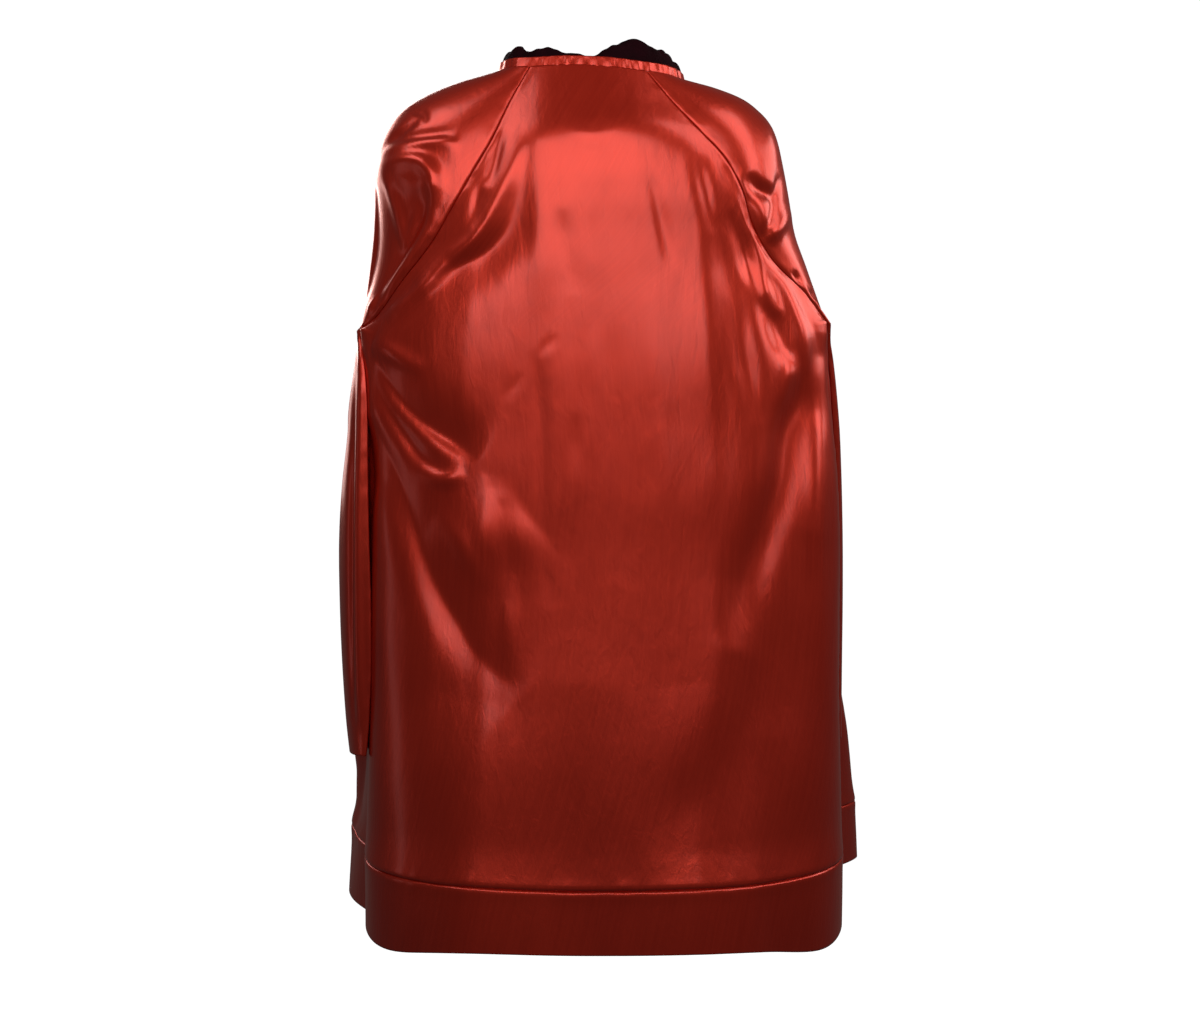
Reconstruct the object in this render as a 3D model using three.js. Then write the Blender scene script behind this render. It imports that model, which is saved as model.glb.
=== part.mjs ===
import * as THREE from 'three';

// Satin evening coat, hollow and open as it hangs when worn: a wide back and two fronts between raglan
// seams, two-piece raglan sleeves, a sewn-on hem band, a gathered neck band and a ruched velvet collar.
// Millimetres. +Z is up, the fronts face -Y and the wearer's left is +X. The origin is the middle of the
// neckline, where the wearer's neck and shoulders hold the coat.

const satinThickness = 2;
const velvetThickness = 2.4;
const seamGap = 0.34;
const underarmEase = 0.8;
const seamRound = 14;
const neckBandHeight = 11;
const neckBandLean = 0.16;
const neckGathers = 46;
const neckGatherDepth = 0.9;
const collarPuffs = 17;
const collarPuffDepth = 4.5;
const collarBase = 8;
const collarInset = 3.9;
const collarLean = 0.3;
const bandRise = 14;
const frontHemRise = 24;
const rightSeamShift = 9;
const sharpestMitre = 0.55;

// How finely each piece is divided
const raglanRows = 12;
const bodyRows = 17;
const bandRows = 2;
const armRows = 12;
const backColumns = 28;
const frontColumns = 13;
const sleeveColumns = 7;
const neckColumns = 92;
const collarColumns = 84;

// Stations from the neckline (first) to the underarm (last). back and front are points on the raglan
// seams, top is the overarm line, middle is the centre back and edge is the left front edge.
const raglan = {
  backLeft: [[72, 76, 1], [96, 88, -45], [117, 98, -92], [141, 101, -134], [163, 99, -172],
    [190, 89, -215], [226, 72, -257], [258, 48, -295], [283, 25, -312]],
  backRight: [[-68, 75, -4], [-97, 87, -42], [-128, 96, -77], [-161, 98, -113], [-182, 95, -150],
    [-196, 86, -192], [-222, 70, -233], [-262, 46, -268], [-292, 25, -303]],
  topLeft: [[116, 0, 6], [168, -2, -5], [218, -4, -26], [250, -6, -54], [268, -10, -103],
    [270, -16, -158], [273, -26, -212], [282, -38, -268], [290, -50, -316]],
  topRight: [[-120, 0, -6], [-158, -2, -12], [-199, -4, -29], [-225, -6, -58], [-240, -10, -103],
    [-250, -16, -150], [-259, -28, -205], [-284, -42, -255], [-301, -52, -307]],
  frontLeft: [[76, -72, -24], [100, -88, -60], [120, -100, -100], [142, -106, -140], [166, -106, -180],
    [194, -98, -222], [228, -78, -262], [260, -34, -296], [283, 25, -312]],
  middleBack: [[0, 86, 1], [0, 100, -43], [0, 112, -85], [0, 120, -124], [0, 125, -162],
    [0, 127, -203], [0, 127, -245], [0, 126, -281], [0, 125, -308]],
  edgeLeft: [[5, -96, -50], [5, -106, -80], [5, -114, -113], [5, -120, -147], [5, -124, -182],
    [5, -126, -216], [5, -127, -250], [5, -128, -282], [5, -128, -308]],
  arc: [0.5, 0.6, 0.7, 0.78, 0.84, 0.88, 0.92, 0.96, 1],
  out: [-12, -20, -28, -36, -42, -46, -40, -28, -12],
  ahead: [10, 12, 14, 18, 24, 34, 50, 66, 80],
  spread: [28, 40, 50, 58, 66, 80, 100, 126, 150],
};

// Rings of the coat's body below the underarm, from the underarm (first) to the hem (last).
// drop is below the underarm, side seams are [x, y], and out, ahead and spread shape the fronts' curve.
const body = {
  drop: [0, 60, 130, 200, 280, 360, 440, 520, 600, 650, 717],
  sideLeft: [[283, 25], [278, 27], [274, 30], [271, 33], [270, 36], [269, 38], [268, 40], [269, 40],
    [271, 36], [272, 33], [272, 30]],
  sideRight: [[-292, 25], [-294, 29], [-299, 32], [-304, 36], [-306, 40], [-305, 44], [-304, 46],
    [-305, 44], [-307, 40], [-308, 36], [-308, 30]],
  backY: [125, 125, 127, 131, 139, 152, 170, 191, 212, 226, 240],
  frontY: [-128, -131, -136, -143, -153, -167, -184, -204, -225, -241, -256],
  square: [2.2, 2.2, 2.2, 2.3, 2.3, 2.4, 2.4, 2.5, 2.5, 2.6, 2.5],
  edgeLeftX: [5, 5, 5, 5, 4, 2, 0, -3, -6, -8, -10],
  edgeRightX: [-5, -7, -10, -13, -17, -22, -27, -32, -37, -41, -44],
  outLeft: [-12, 16, 35, 44, 45, 42, 40, 40, 58, 80, 104],
  aheadLeft: [80, 85, 90, 95, 100, 108, 118, 130, 145, 155, 160],
  outRight: [-12, -6, -6, -4, -6, -12, -18, -16, -4, 8, 18],
  aheadRight: [80, 85, 90, 95, 100, 105, 112, 120, 130, 136, 140],
  spread: [150, 155, 160, 168, 185, 215, 240, 255, 265, 272, 280],
};
const underarmStation = 8;
const bandStation = 9;
const cuffStation = 9;
const frontUnderarmLevel = -308;
const hemLevel = -1029;
const squareLean = 0.06;
// The sleeve's half ellipses start to close into a ring here
const closingStation = 4.5;

// The hem dips on either side of the centre back, most at this share of the way to the side seams
const hemSag = { left: -12, right: -16, share: 0.68, width: 0.22 };

// The right front swings out ahead of the sleeve: how far at each ring, about which share of the front
const swing = { side: [0, 0, 0, 6, 44, 94, 118, 126, 124, 120, 116], share: 0.37, width: 0.16,
  x: -0.9, y: -0.42 };

// Flattened rings of the hanging sleeves below the underarm. seam is the underarm seam, top the overarm
// seam and reach how far forward the sleeve's front fold lies. splay widens the ring on its body side
// and on its outer side.
const arm = {
  left: {
    drop: [0, 35, 70, 125, 190, 260, 340, 410, 478, 519],
    seam: [[283, 25], [287, 34], [284, 41], [280, 46], [275, 52], [273, 58], [270, 64], [268, 70],
      [271, 76], [274, 80]],
    top: [[290, -50], [297, -45], [303, -40], [306, -35], [313, -30], [316, -25], [314, -18],
      [310, -10], [304, -2], [298, 6]],
    reach: [-140, -135, -132, -125, -118, -110, -95, -78, -58, -42],
    splay: [[0, 0], [3, 0], [8, 0], [16, 0], [24, 2], [30, 2], [30, 2], [24, 2], [20, 2], [16, 2]],
  },
  right: {
    drop: [0, 35, 70, 125, 190, 260, 340, 410, 478, 519],
    seam: [[-292, 25], [-298, 13], [-301, 5], [-304, -1], [-306, -6], [-307, -9], [-308, -12],
      [-308, -14], [-308, -14], [-308, -14]],
    top: [[-301, -52], [-303, -56], [-306, -60], [-313, -64], [-319, -68], [-322, -70], [-322, -70],
      [-321, -68], [-319, -64], [-318, -60]],
    reach: [-150, -152, -152, -150, -146, -138, -126, -118, -112, -108],
    splay: [[8, -2], [14, -4], [20, -4], [26, -4], [30, -4], [30, -4], [26, -4], [20, -4], [14, -4],
      [12, -4]],
  },
};

// Collar heights above the neckline, from the left front edge (share 0) round the back to the right one
const collarShare = [0, 0.08, 0.16, 0.24, 0.3, 0.35, 0.39, 0.43, 0.46, 0.51, 0.54, 0.58, 0.61, 0.65,
  0.7, 0.78, 0.9, 1];
const collarHeight = [22, 30, 26, 31, 26, 26, 21, 25, 15, 15, 26, 42, 37, 34, 27, 30, 29, 22];

// The largest folds, as soft ridges (height above 0) and troughs. Each point is [x, z, height].
const backFolds = [
  { width: 30, path: [[262, -326, 0], [229, -381, -10], [188, -416, -12], [129, -440, -6], [80, -450, 0]] },
  { width: 17, path: [[268, -334, 0], [251, -369, 8], [235, -404, 10], [212, -434, 10], [182, -454, 9],
    [153, -468, 6], [112, -496, 0]] },
  { width: 18, path: [[270, -345, 0], [257, -387, 8], [241, -434, 9], [224, -469, 8], [200, -501, 6],
    [159, -536, 0]] },
  { width: 30, path: [[245, -440, 0], [212, -522, -11], [176, -593, -13], [141, -652, -12],
    [105, -699, -8], [70, -757, 0]] },
  { width: 22, path: [[262, -505, 0], [215, -590, 8], [175, -662, 9], [139, -758, 6], [110, -830, 0]] },
  { width: 32, path: [[120, -520, 0], [95, -590, 6], [70, -680, 6], [50, -760, 0]] },
  { width: 30, path: [[-287, -325, 0], [-262, -387, -8], [-248, -440, -13], [-231, -499, -14],
    [-213, -546, -13], [-195, -593, -10], [-172, -700, 0]] },
  { width: 26, path: [[-280, -400, 0], [-266, -463, 6], [-250, -522, 8], [-238, -593, 7], [-228, -700, 0]] },
  { width: 18, path: [[70, -145, 0], [76, -160, -4], [105, -215, -7], [141, -257, -7], [180, -284, 0]] },
  { width: 14, path: [[-180, -200, 0], [-190, -228, -6], [-200, -268, -6], [-214, -300, 0]] },
];
const sleeveFolds = [
  { width: 13, path: [[262, -104, 0], [223, -109, 5], [199, -114, 7], [186, -141, 8], [183, -165, 8],
    [193, -192, 6], [206, -232, 0]] },
  { width: 15, path: [[256, -126, 0], [239, -131, -6], [215, -143, -10], [207, -162, -10],
    [218, -190, -6], [234, -226, 0]] },
  { width: 12, path: [[-214, -38, 0], [-222, -90, 5], [-224, -140, 5], [-232, -190, 0]] },
  { width: 13, path: [[-244, -140, 0], [-232, -152, -6], [-215, -160, -6], [-204, -172, 0]] },
];
const frontFolds = [
  { width: 46, before: -64, path: [[276, -740, 0], [282, -830, 34], [290, -880, 24], [300, -950, 8],
    [306, -1030, 0]] },
  { width: 36, path: [[150, -180, 0], [140, -420, -5], [150, -700, -9], [165, -1040, -12]] },
  { width: 34, path: [[-140, -180, 0], [-150, -420, -5], [-170, -700, -9], [-190, -1040, -12]] },
  { width: 30, path: [[70, -300, 0], [72, -600, 5], [74, -1040, 9]] },
  { width: 30, path: [[-70, -320, 0], [-88, -620, 5], [-104, -1040, 9]] },
];
const hemFolds = [
  { width: 46, path: [[120, -760, 0], [135, -900, 5], [140, -1040, 8]] },
  { width: 40, path: [[20, -740, 0], [14, -900, -5], [10, -1040, -7]] },
  { width: 46, path: [[-110, -740, 0], [-122, -900, 5], [-128, -1040, 8]] },
  { width: 36, path: [[-215, -800, 0], [-222, -920, -5], [-226, -1040, -8]] },
];

const lerp = (a, b, share) => a + (b - a) * share;
const vector = (p) => new THREE.Vector3(p[0], p[1], p[2]);

// Smooth curve through a list of numbers or of points, at a place counted in list steps
function through(list, place) {
  const last = list.length - 1;
  const step = Math.min(Math.max(Math.floor(place), 0), last - 1);
  const f = place - step;
  const near = [-1, 0, 1, 2].map((k) => list[Math.min(Math.max(step + k, 0), last)]);
  const blend = (a, b, c, d) => b
    + 0.5 * f * (c - a + f * (2 * a - 5 * b + 4 * c - d + f * (3 * (b - c) + d - a)));
  return Array.isArray(list[0]) ? near[0].map((_, k) => blend(...near.map((p) => p[k]))) : blend(...near);
}

function bezier(a, b, c, d, s) {
  const r = 1 - s;
  const weights = [r * r * r, 3 * r * r * s, 3 * r * s * s, s * s * s];
  return new THREE.Vector3()
    .addScaledVector(a, weights[0]).addScaledVector(b, weights[1])
    .addScaledVector(c, weights[2]).addScaledVector(d, weights[3]);
}

// Height of a set of folds at a place seen from behind or in front: a bell across each fold's path.
// A fold with a before lies only where y is less than that.
function foldHeight(folds, { x, y, z }) {
  let height = 0;
  for (const { width, path, before = Infinity } of folds) {
    let best = Infinity;
    let high = 0;
    for (let k = 1; k < path.length; k += 1) {
      const [ax, az, ah] = path[k - 1];
      const [bx, bz, bh] = path[k];
      const length = (bx - ax) ** 2 + (bz - az) ** 2;
      const share = Math.min(Math.max(((x - ax) * (bx - ax) + (z - az) * (bz - az)) / length, 0), 1);
      const away = Math.hypot(x - lerp(ax, bx, share), z - lerp(az, bz, share));
      if (away < best) [best, high] = [away, lerp(ah, bh, share)];
    }
    const there = before === Infinity ? 1 : THREE.MathUtils.smoothstep(before - y, -25, 25);
    height += there * high * Math.exp(-((best / width) ** 2));
  }
  return height;
}

// A ring station below the underarm. depth counts body stations from 0 at the underarm.
function sideSeam(side, depth) {
  const start = raglan['back' + side][underarmStation];
  const [x, y] = through(body['side' + side], depth);
  return new THREE.Vector3(x, y, lerp(start[2], hemLevel, through(body.drop, depth) / body.drop.at(-1)));
}

// Back row: from the left seam to the right seam over the centre back, bulging as a superellipse arc
function backRow(left, right, middleY, middleZ, arc, square) {
  const widest = Math.asin(Math.min(arc, 1));
  const row = [];
  for (let j = 0; j <= backColumns; j += 1) {
    const across = Math.sin(lerp(-widest, widest, j / backColumns)) / Math.sin(widest);
    const power = square * (1 - squareLean * across);
    const flat = (1 - arc ** power) ** (1 / power);
    const round = (Math.max(1 - Math.abs(across * arc) ** power, 0) ** (1 / power) - flat) / (1 - flat);
    const point = left.clone().lerp(right, (across + 1) / 2);
    point.y += (middleY - (left.y + right.y) / 2) * round;
    point.z += (middleZ - (left.z + right.z) / 2) * (1 - across * across);
    row.push(point);
  }
  return row;
}

// Front row: from the front edge to the side, as one cubic curve
function frontRow(edge, side, spread, out, ahead, sign) {
  const fromEdge = edge.clone().add(new THREE.Vector3(sign * spread, 0, (side.z - edge.z) / 3));
  const fromSide = side.clone().add(new THREE.Vector3(sign * out, -ahead, (edge.z - side.z) / 3));
  const row = [];
  for (let j = 0; j <= frontColumns; j += 1) {
    row.push(bezier(edge, fromEdge, fromSide, side, j / frontColumns));
  }
  return row;
}

// The hem band is deeper towards the sides and the fronts than at the centre back
const bandLift = (depth) => bandRise * Math.max(1 - Math.abs(depth - bandStation), 0);

const hemDip = (across, share) => (across < 0 ? hemSag.left : hemSag.right) * share
  * Math.exp(-(((Math.abs(across) - hemSag.share) / hemSag.width) ** 2));

function backGrid() {
  const grid = [];
  for (let i = 0; i <= raglanRows; i += 1) {
    const place = (underarmStation * i) / raglanRows;
    const middle = through(raglan.middleBack, place);
    grid.push(backRow(vector(through(raglan.backLeft, place)), vector(through(raglan.backRight, place)),
      middle[1], middle[2], through(raglan.arc, place), body.square[0]));
  }
  for (const depth of lowerDepths()) {
    const left = sideSeam('Left', depth);
    const right = sideSeam('Right', depth);
    const row = backRow(left, right, through(body.backY, depth), (left.z + right.z) / 2, 1,
      through(body.square, depth));
    row.forEach((p, j) => {
      const across = (2 * j) / backColumns - 1;
      p.z += hemDip(across, Math.max(depth - bandStation, 0)) + bandLift(depth) * across * across;
    });
    grid.push(row);
  }
  return grid;
}

// Station depths of the rows below the underarm: the panel's own, then the hem band's
function lowerDepths() {
  const depths = [];
  for (let i = 1; i <= bodyRows; i += 1) depths.push((bandStation * i) / bodyRows);
  for (let i = 1; i <= bandRows; i += 1) depths.push(bandStation + i / bandRows);
  return depths;
}

function frontSeam(side, place) {
  const point = vector(through(raglan.frontLeft, place));
  if (side === 'Left') return point;
  const shift = (rightSeamShift * place) / underarmStation;
  return new THREE.Vector3(-point.x - shift, point.y, point.z + shift);
}

function frontGrid(side) {
  const sign = side === 'Left' ? 1 : -1;
  const grid = [];
  for (let i = 0; i <= raglanRows; i += 1) {
    const place = (underarmStation * i) / raglanRows;
    const edge = vector(through(raglan.edgeLeft, place));
    edge.x *= sign;
    grid.push(frontRow(edge, frontSeam(side, place), through(raglan.spread, place),
      through(raglan.out, place), through(raglan.ahead, place), sign));
  }
  for (const depth of lowerDepths()) {
    const seam = sideSeam(side, depth);
    const drop = through(body.drop, depth);
    const rise = frontHemRise * (drop / body.drop.at(-1)) ** 2;
    const edge = new THREE.Vector3(through(body['edge' + side + 'X'], depth),
      through(body.frontY, depth), frontUnderarmLevel - drop + rise);
    const row = frontRow(edge, seam, through(body.spread, depth), through(body['out' + side], depth),
      through(body['ahead' + side], depth), sign);
    row.forEach((p, j) => {
      p.z += bandLift(depth);
      if (side === 'Left') return;
      const bell = Math.exp(-(Math.abs((j / frontColumns - swing.share) / swing.width) ** 2.6));
      p.x += swing.x * bell * through(swing.side, depth);
      p.y += swing.y * bell * through(swing.side, depth);
    });
    grid.push(row);
  }
  if (side === 'Right') grid.forEach((row) => row.reverse());
  return grid;
}

// Sleeve rows run from the front seam over the overarm line to the back seam. Above the underarm each
// half is a quarter ellipse, below it the row closes into a flattened ring round the hanging sleeve.
function sleeveRow(front, top, back, reach, closing, splay) {
  const quarter = 0.5523;
  const forward = Math.max((4 * (top.y + front.y) - 8 * reach) / 3, 0);
  const topQuarter = new THREE.Vector3(0, quarter * (front.y - top.y), 0);
  const frontQuarter = new THREE.Vector3(quarter * (top.x - front.x), 0, quarter * (top.z - front.z));
  const topLoop = new THREE.Vector3(splay[1], -0.4 * forward, 0);
  const frontLoop = new THREE.Vector3(splay[0], -0.6 * forward, 0);
  const fromTop = top.clone().add(topQuarter.lerp(topLoop, closing));
  const fromFront = front.clone().add(frontQuarter.lerp(frontLoop, closing));
  const row = [];
  for (let j = 0; j <= sleeveColumns; j += 1) {
    row.push(bezier(front, fromFront, fromTop, top, j / sleeveColumns));
  }
  const behindTop = top.clone().add(new THREE.Vector3(0, quarter * (back.y - top.y), 0));
  const beside = Math.max(quarter * Math.abs(top.x - back.x), seamRound * closing) * Math.sign(top.x);
  const besideBack = back.clone().add(new THREE.Vector3(beside, 0, quarter * (top.z - back.z)));
  for (let j = 1; j <= sleeveColumns; j += 1) {
    row.push(bezier(top, behindTop, besideBack, back, j / sleeveColumns));
  }
  return row;
}

function sleeveGrid(side) {
  const rings = side === 'Left' ? arm.left : arm.right;
  const underarm = raglan['back' + side][underarmStation];
  const grid = [];
  for (let i = 0; i <= raglanRows; i += 1) {
    const place = (underarmStation * i) / raglanRows;
    const closing = THREE.MathUtils.smoothstep(place, closingStation, underarmStation);
    const [front, rear] = [frontSeam(side, place), vector(through(raglan['back' + side], place))];
    if (i === raglanRows) [front, rear].forEach((p) => { p.x += Math.sign(p.x) * underarmEase; });
    grid.push(sleeveRow(front, vector(through(raglan['top' + side], place)), rear, rings.reach[0],
      closing, rings.splay[0]));
  }
  for (let i = 1; i <= armRows; i += 1) {
    const depth = (cuffStation * i) / armRows;
    const z = underarm[2] - through(rings.drop, depth);
    const seam = new THREE.Vector3(...through(rings.seam, depth), z);
    const top = new THREE.Vector3(...through(rings.top, depth), z);
    grid.push(sleeveRow(seam, top, seam, through(rings.reach, depth), 1, through(rings.splay, depth)));
  }
  if (side === 'Right') grid.forEach((row) => row.reverse());
  return grid;
}

// Softens the change of slope at the underarm: each inner point moves towards its neighbours above and below
function relax(grid, from, to, margin, times) {
  for (let turn = 0; turn < times; turn += 1) {
    const before = grid.map((row) => row.map((p) => p.clone()));
    for (let i = from; i <= to; i += 1) {
      for (let j = margin; j + margin < grid[i].length; j += 1) {
        grid[i][j].copy(before[i - 1][j]).add(before[i + 1][j]).multiplyScalar(0.5).lerp(before[i][j], 0.5);
      }
    }
  }
}

// Outward normals of a grid whose rows run down and whose columns run anticlockwise seen from above
function gridNormals(grid) {
  const rows = grid.length - 1;
  const columns = grid[0].length - 1;
  return grid.map((row, i) => row.map((_, j) => {
    const down = grid[Math.min(i + 1, rows)][j].clone().sub(grid[Math.max(i - 1, 0)][j]);
    const along = row[Math.min(j + 1, columns)].clone().sub(row[Math.max(j - 1, 0)]);
    return down.cross(along).normalize();
  }));
}

function pressFolds(grid, folds, wanted) {
  const normals = gridNormals(grid);
  grid.forEach((row, i) => row.forEach((point, j) => {
    if (wanted(i, j)) point.addScaledVector(normals[i][j], foldHeight(folds, point));
  }));
}

// A seam shared by two grids: both walls end on one mitre, which is longer where the seam is sharper
function joinNormals(a, b) {
  a.forEach((normal, k) => {
    const mitre = normal.clone().add(b[k]).normalize();
    mitre.divideScalar(Math.max(mitre.dot(normal), sharpestMitre));
    normal.copy(mitre);
    b[k].copy(mitre);
  });
}

const column = (grid, j, from, to) => grid.slice(from, to + 1).map((row) => row.at(j));

// Draws an edge back by half the seam gap along the cloth
function drawBack(edge, next) {
  edge.forEach((point, k) => {
    point.addScaledVector(next[k].clone().sub(point).normalize(), seamGap / 2);
  });
}

// A closed wall from a grid of outer points: outer skin, inner skin one thickness in, rim all round
function wall(grid, normals, thickness) {
  const rows = grid.length;
  const columns = grid[0].length;
  const positions = [];
  grid.forEach((row) => row.forEach((p) => positions.push(p.x, p.y, p.z)));
  grid.forEach((row, i) => row.forEach((p, j) => {
    const inner = p.clone().addScaledVector(normals[i][j], -thickness);
    positions.push(inner.x, inner.y, inner.z);
  }));
  const outer = (i, j) => i * columns + j;
  const inner = (i, j) => rows * columns + i * columns + j;
  const triangles = [];
  const quad = (a, b, c, d) => triangles.push(a, b, c, a, c, d);
  const apart = (a, b) => Math.hypot(...[0, 1, 2].map((k) => positions[3 * a + k] - positions[3 * b + k]));
  // A skin's quads are split along the shorter diagonal, so that folds stay even
  const skin = (a, b, c, d) => (apart(a, c) <= apart(b, d) ? quad(a, b, c, d) : quad(b, c, d, a));
  for (let i = 0; i + 1 < rows; i += 1) {
    for (let j = 0; j + 1 < columns; j += 1) {
      skin(outer(i, j), outer(i + 1, j), outer(i + 1, j + 1), outer(i, j + 1));
      skin(inner(i, j), inner(i, j + 1), inner(i + 1, j + 1), inner(i + 1, j));
    }
  }
  // Both rims of a seam are split along the same diagonal, so that they lie side by side
  const rim = (a, b, facing) => (facing
    ? quad(outer(...a), outer(...b), inner(...b), inner(...a))
    : quad(outer(...a), inner(...a), inner(...b), outer(...b)));
  for (let j = 0; j + 1 < columns; j += 1) {
    rim([0, j], [0, j + 1], true);
    rim([rows - 1, j], [rows - 1, j + 1], false);
  }
  for (let i = 0; i + 1 < rows; i += 1) {
    rim([i, 0], [i + 1, 0], false);
    rim([i, columns - 1], [i + 1, columns - 1], true);
  }
  const geometry = new THREE.BufferGeometry();
  geometry.setAttribute('position', new THREE.Float32BufferAttribute(positions, 3));
  geometry.setIndex(triangles);
  geometry.computeVertexNormals();
  return geometry;
}

const satin = () => new THREE.MeshStandardMaterial({ color: 0xb23a2c, roughness: 0.34, metalness: 0.1 });
const velvet = () => new THREE.MeshStandardMaterial({ color: 0x1e060c, roughness: 0.9, metalness: 0 });
const coat = new THREE.Group();

function sew(name, geometry, material) {
  const mesh = new THREE.Mesh(geometry, material);
  mesh.name = name;
  coat.add(mesh);
}

// One cut piece: part of a panel's grid, its sewn edges drawn back from their neighbours
function cut(name, grid, normals, rows, columns, sewn) {
  const cells = (row) => row.slice(columns[0], columns[1] + 1);
  const part = (whole) => whole.slice(rows[0], rows[1] + 1).map(cells);
  const piece = part(grid).map((row) => row.map((p) => p.clone()));
  const faces = part(normals);
  const last = piece.length - 1;
  const wide = piece[0].length - 1;
  if (sewn.includes('top')) drawBack(piece[0], piece[1]);
  if (sewn.includes('bottom')) drawBack(piece[last], piece[last - 1]);
  if (sewn.includes('first')) drawBack(piece.map((r) => r[0]), piece.map((r) => r[1]));
  if (sewn.includes('last')) drawBack(piece.map((r) => r[wide]), piece.map((r) => r[wide - 1]));
  sew(name, wall(piece, faces, satinThickness), satin());
}

const back = backGrid();
const fronts = { Left: frontGrid('Left'), Right: frontGrid('Right') };
const sleeves = { Left: sleeveGrid('Left'), Right: sleeveGrid('Right') };
const lastRow = back.length - 1;
const bandRow = raglanRows + bodyRows;
const underarmRow = raglanRows;
const halfSleeve = sleeveColumns;

const easing = { panelRows: 3, panelMargin: 2, panelTurns: 4, sleeveRows: 4, sleeveMargin: 3, sleeveTurns: 3 };
for (const panel of [back, ...Object.values(fronts)]) {
  relax(panel, underarmRow - easing.panelRows, underarmRow + easing.panelRows, easing.panelMargin,
    easing.panelTurns);
}
for (const sleeve of Object.values(sleeves)) {
  relax(sleeve, underarmRow - easing.sleeveRows, underarmRow - 1, easing.sleeveMargin, easing.sleeveTurns);
}

// Folds leave the seams and the outlines where they are
const inside = (wide) => (i, j) => j > 0 && j < wide && i > 0;
pressFolds(back, [...backFolds, ...hemFolds], inside(backColumns));
for (const front of Object.values(fronts)) pressFolds(front, frontFolds, inside(frontColumns));
const onCap = (first) => (i, j) => i > 0 && i < underarmRow && j > first && j < first + halfSleeve;
pressFolds(sleeves.Left, sleeveFolds, onCap(halfSleeve));
pressFolds(sleeves.Right, sleeveFolds, onCap(0));

const backNormals = gridNormals(back);
const frontNormals = { Left: gridNormals(fronts.Left), Right: gridNormals(fronts.Right) };
const sleeveNormals = { Left: gridNormals(sleeves.Left), Right: gridNormals(sleeves.Right) };

// Seams: normals and column of one grid, normals and column of the other, first row, last row
const cuffRow = raglanRows + armRows;
const seams = [
  [backNormals, 0, sleeveNormals.Left, -1, 0, underarmRow - 1],
  [backNormals, -1, sleeveNormals.Right, 0, 0, underarmRow - 1],
  [frontNormals.Left, -1, sleeveNormals.Left, 0, 0, underarmRow - 1],
  [frontNormals.Right, 0, sleeveNormals.Right, -1, 0, underarmRow - 1],
  [backNormals, 0, frontNormals.Left, -1, underarmRow, lastRow],
  [backNormals, -1, frontNormals.Right, 0, underarmRow, lastRow],
  [sleeveNormals.Left, 0, sleeveNormals.Left, -1, underarmRow, cuffRow],
  [sleeveNormals.Right, 0, sleeveNormals.Right, -1, underarmRow, cuffRow],
];
for (const [aNormals, aColumn, bNormals, bColumn, from, to] of seams) {
  joinNormals(column(aNormals, aColumn, from, to), column(bNormals, bColumn, from, to));
}

cut('back', back, backNormals, [0, bandRow], [0, backColumns], ['top', 'bottom', 'first', 'last']);
cut('hem_band_back', back, backNormals, [bandRow, lastRow], [0, backColumns], ['top', 'first', 'last']);
for (const side of ['Left', 'Right']) {
  const label = side.toLowerCase();
  const seamEdge = side === 'Left' ? 'last' : 'first';
  const [front, frontFaces] = [fronts[side], frontNormals[side]];
  const [sleeve, sleeveFaces] = [sleeves[side], sleeveNormals[side]];
  const halves = side === 'Left' ? ['front', 'back'] : ['back', 'front'];
  const acrossFront = [0, frontColumns];
  cut('front_' + label, front, frontFaces, [0, bandRow], acrossFront, ['top', 'bottom', seamEdge]);
  cut('hem_band_front_' + label, front, frontFaces, [bandRow, lastRow], acrossFront, ['top', seamEdge]);
  halves.forEach((half, k) => {
    const columns = [k * halfSleeve, (k + 1) * halfSleeve];
    cut(`sleeve_${label}_${half}`, sleeve, sleeveFaces, [0, cuffRow], columns, ['top', 'first', 'last']);
  });
}

// The neckline, from the left front edge round the back to the right front edge
const neckline = new THREE.CatmullRomCurve3([
  ...fronts.Left[0].slice(0, -1), ...sleeves.Left[0].slice(0, -1), ...back[0].slice(0, -1),
  ...sleeves.Right[0].slice(0, -1), ...fronts.Right[0],
].filter((_, k) => k % 2 === 0 || k === 0));
const up = new THREE.Vector3(0, 0, 1);

// Place on the neckline with the directions away from the neck and along the line
function neckPlace(share) {
  const point = neckline.getPointAt(share);
  const along = neckline.getTangentAt(share).setZ(0).normalize();
  return { point, away: along.clone().cross(up).normalize() };
}

// A strip or roll that follows the neckline. profile gives [away, height] for each of its rows.
function neckStrip(rows, columns, profile, thickness) {
  const grid = [];
  for (let i = 0; i <= rows; i += 1) {
    const row = [];
    for (let j = 0; j <= columns; j += 1) {
      const share = j / columns;
      const { point, away } = neckPlace(share);
      const [out, height] = profile(i / rows, share);
      row.push(point.clone().addScaledVector(away, out).addScaledVector(up, height));
    }
    grid.push(row);
  }
  return wall(grid, gridNormals(grid), thickness);
}

const bandStart = 0.5;
sew('neck_band', neckStrip(2, neckColumns, (down, share) => {
  const height = lerp(neckBandHeight, bandStart, down);
  const gather = neckGatherDepth * Math.sin(2 * Math.PI * neckGathers * share)
    * Math.sin(Math.PI * (0.25 + 0.75 * down));
  return [-neckBandLean * height + gather * 0.5, height];
}, satinThickness), satin());

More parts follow.
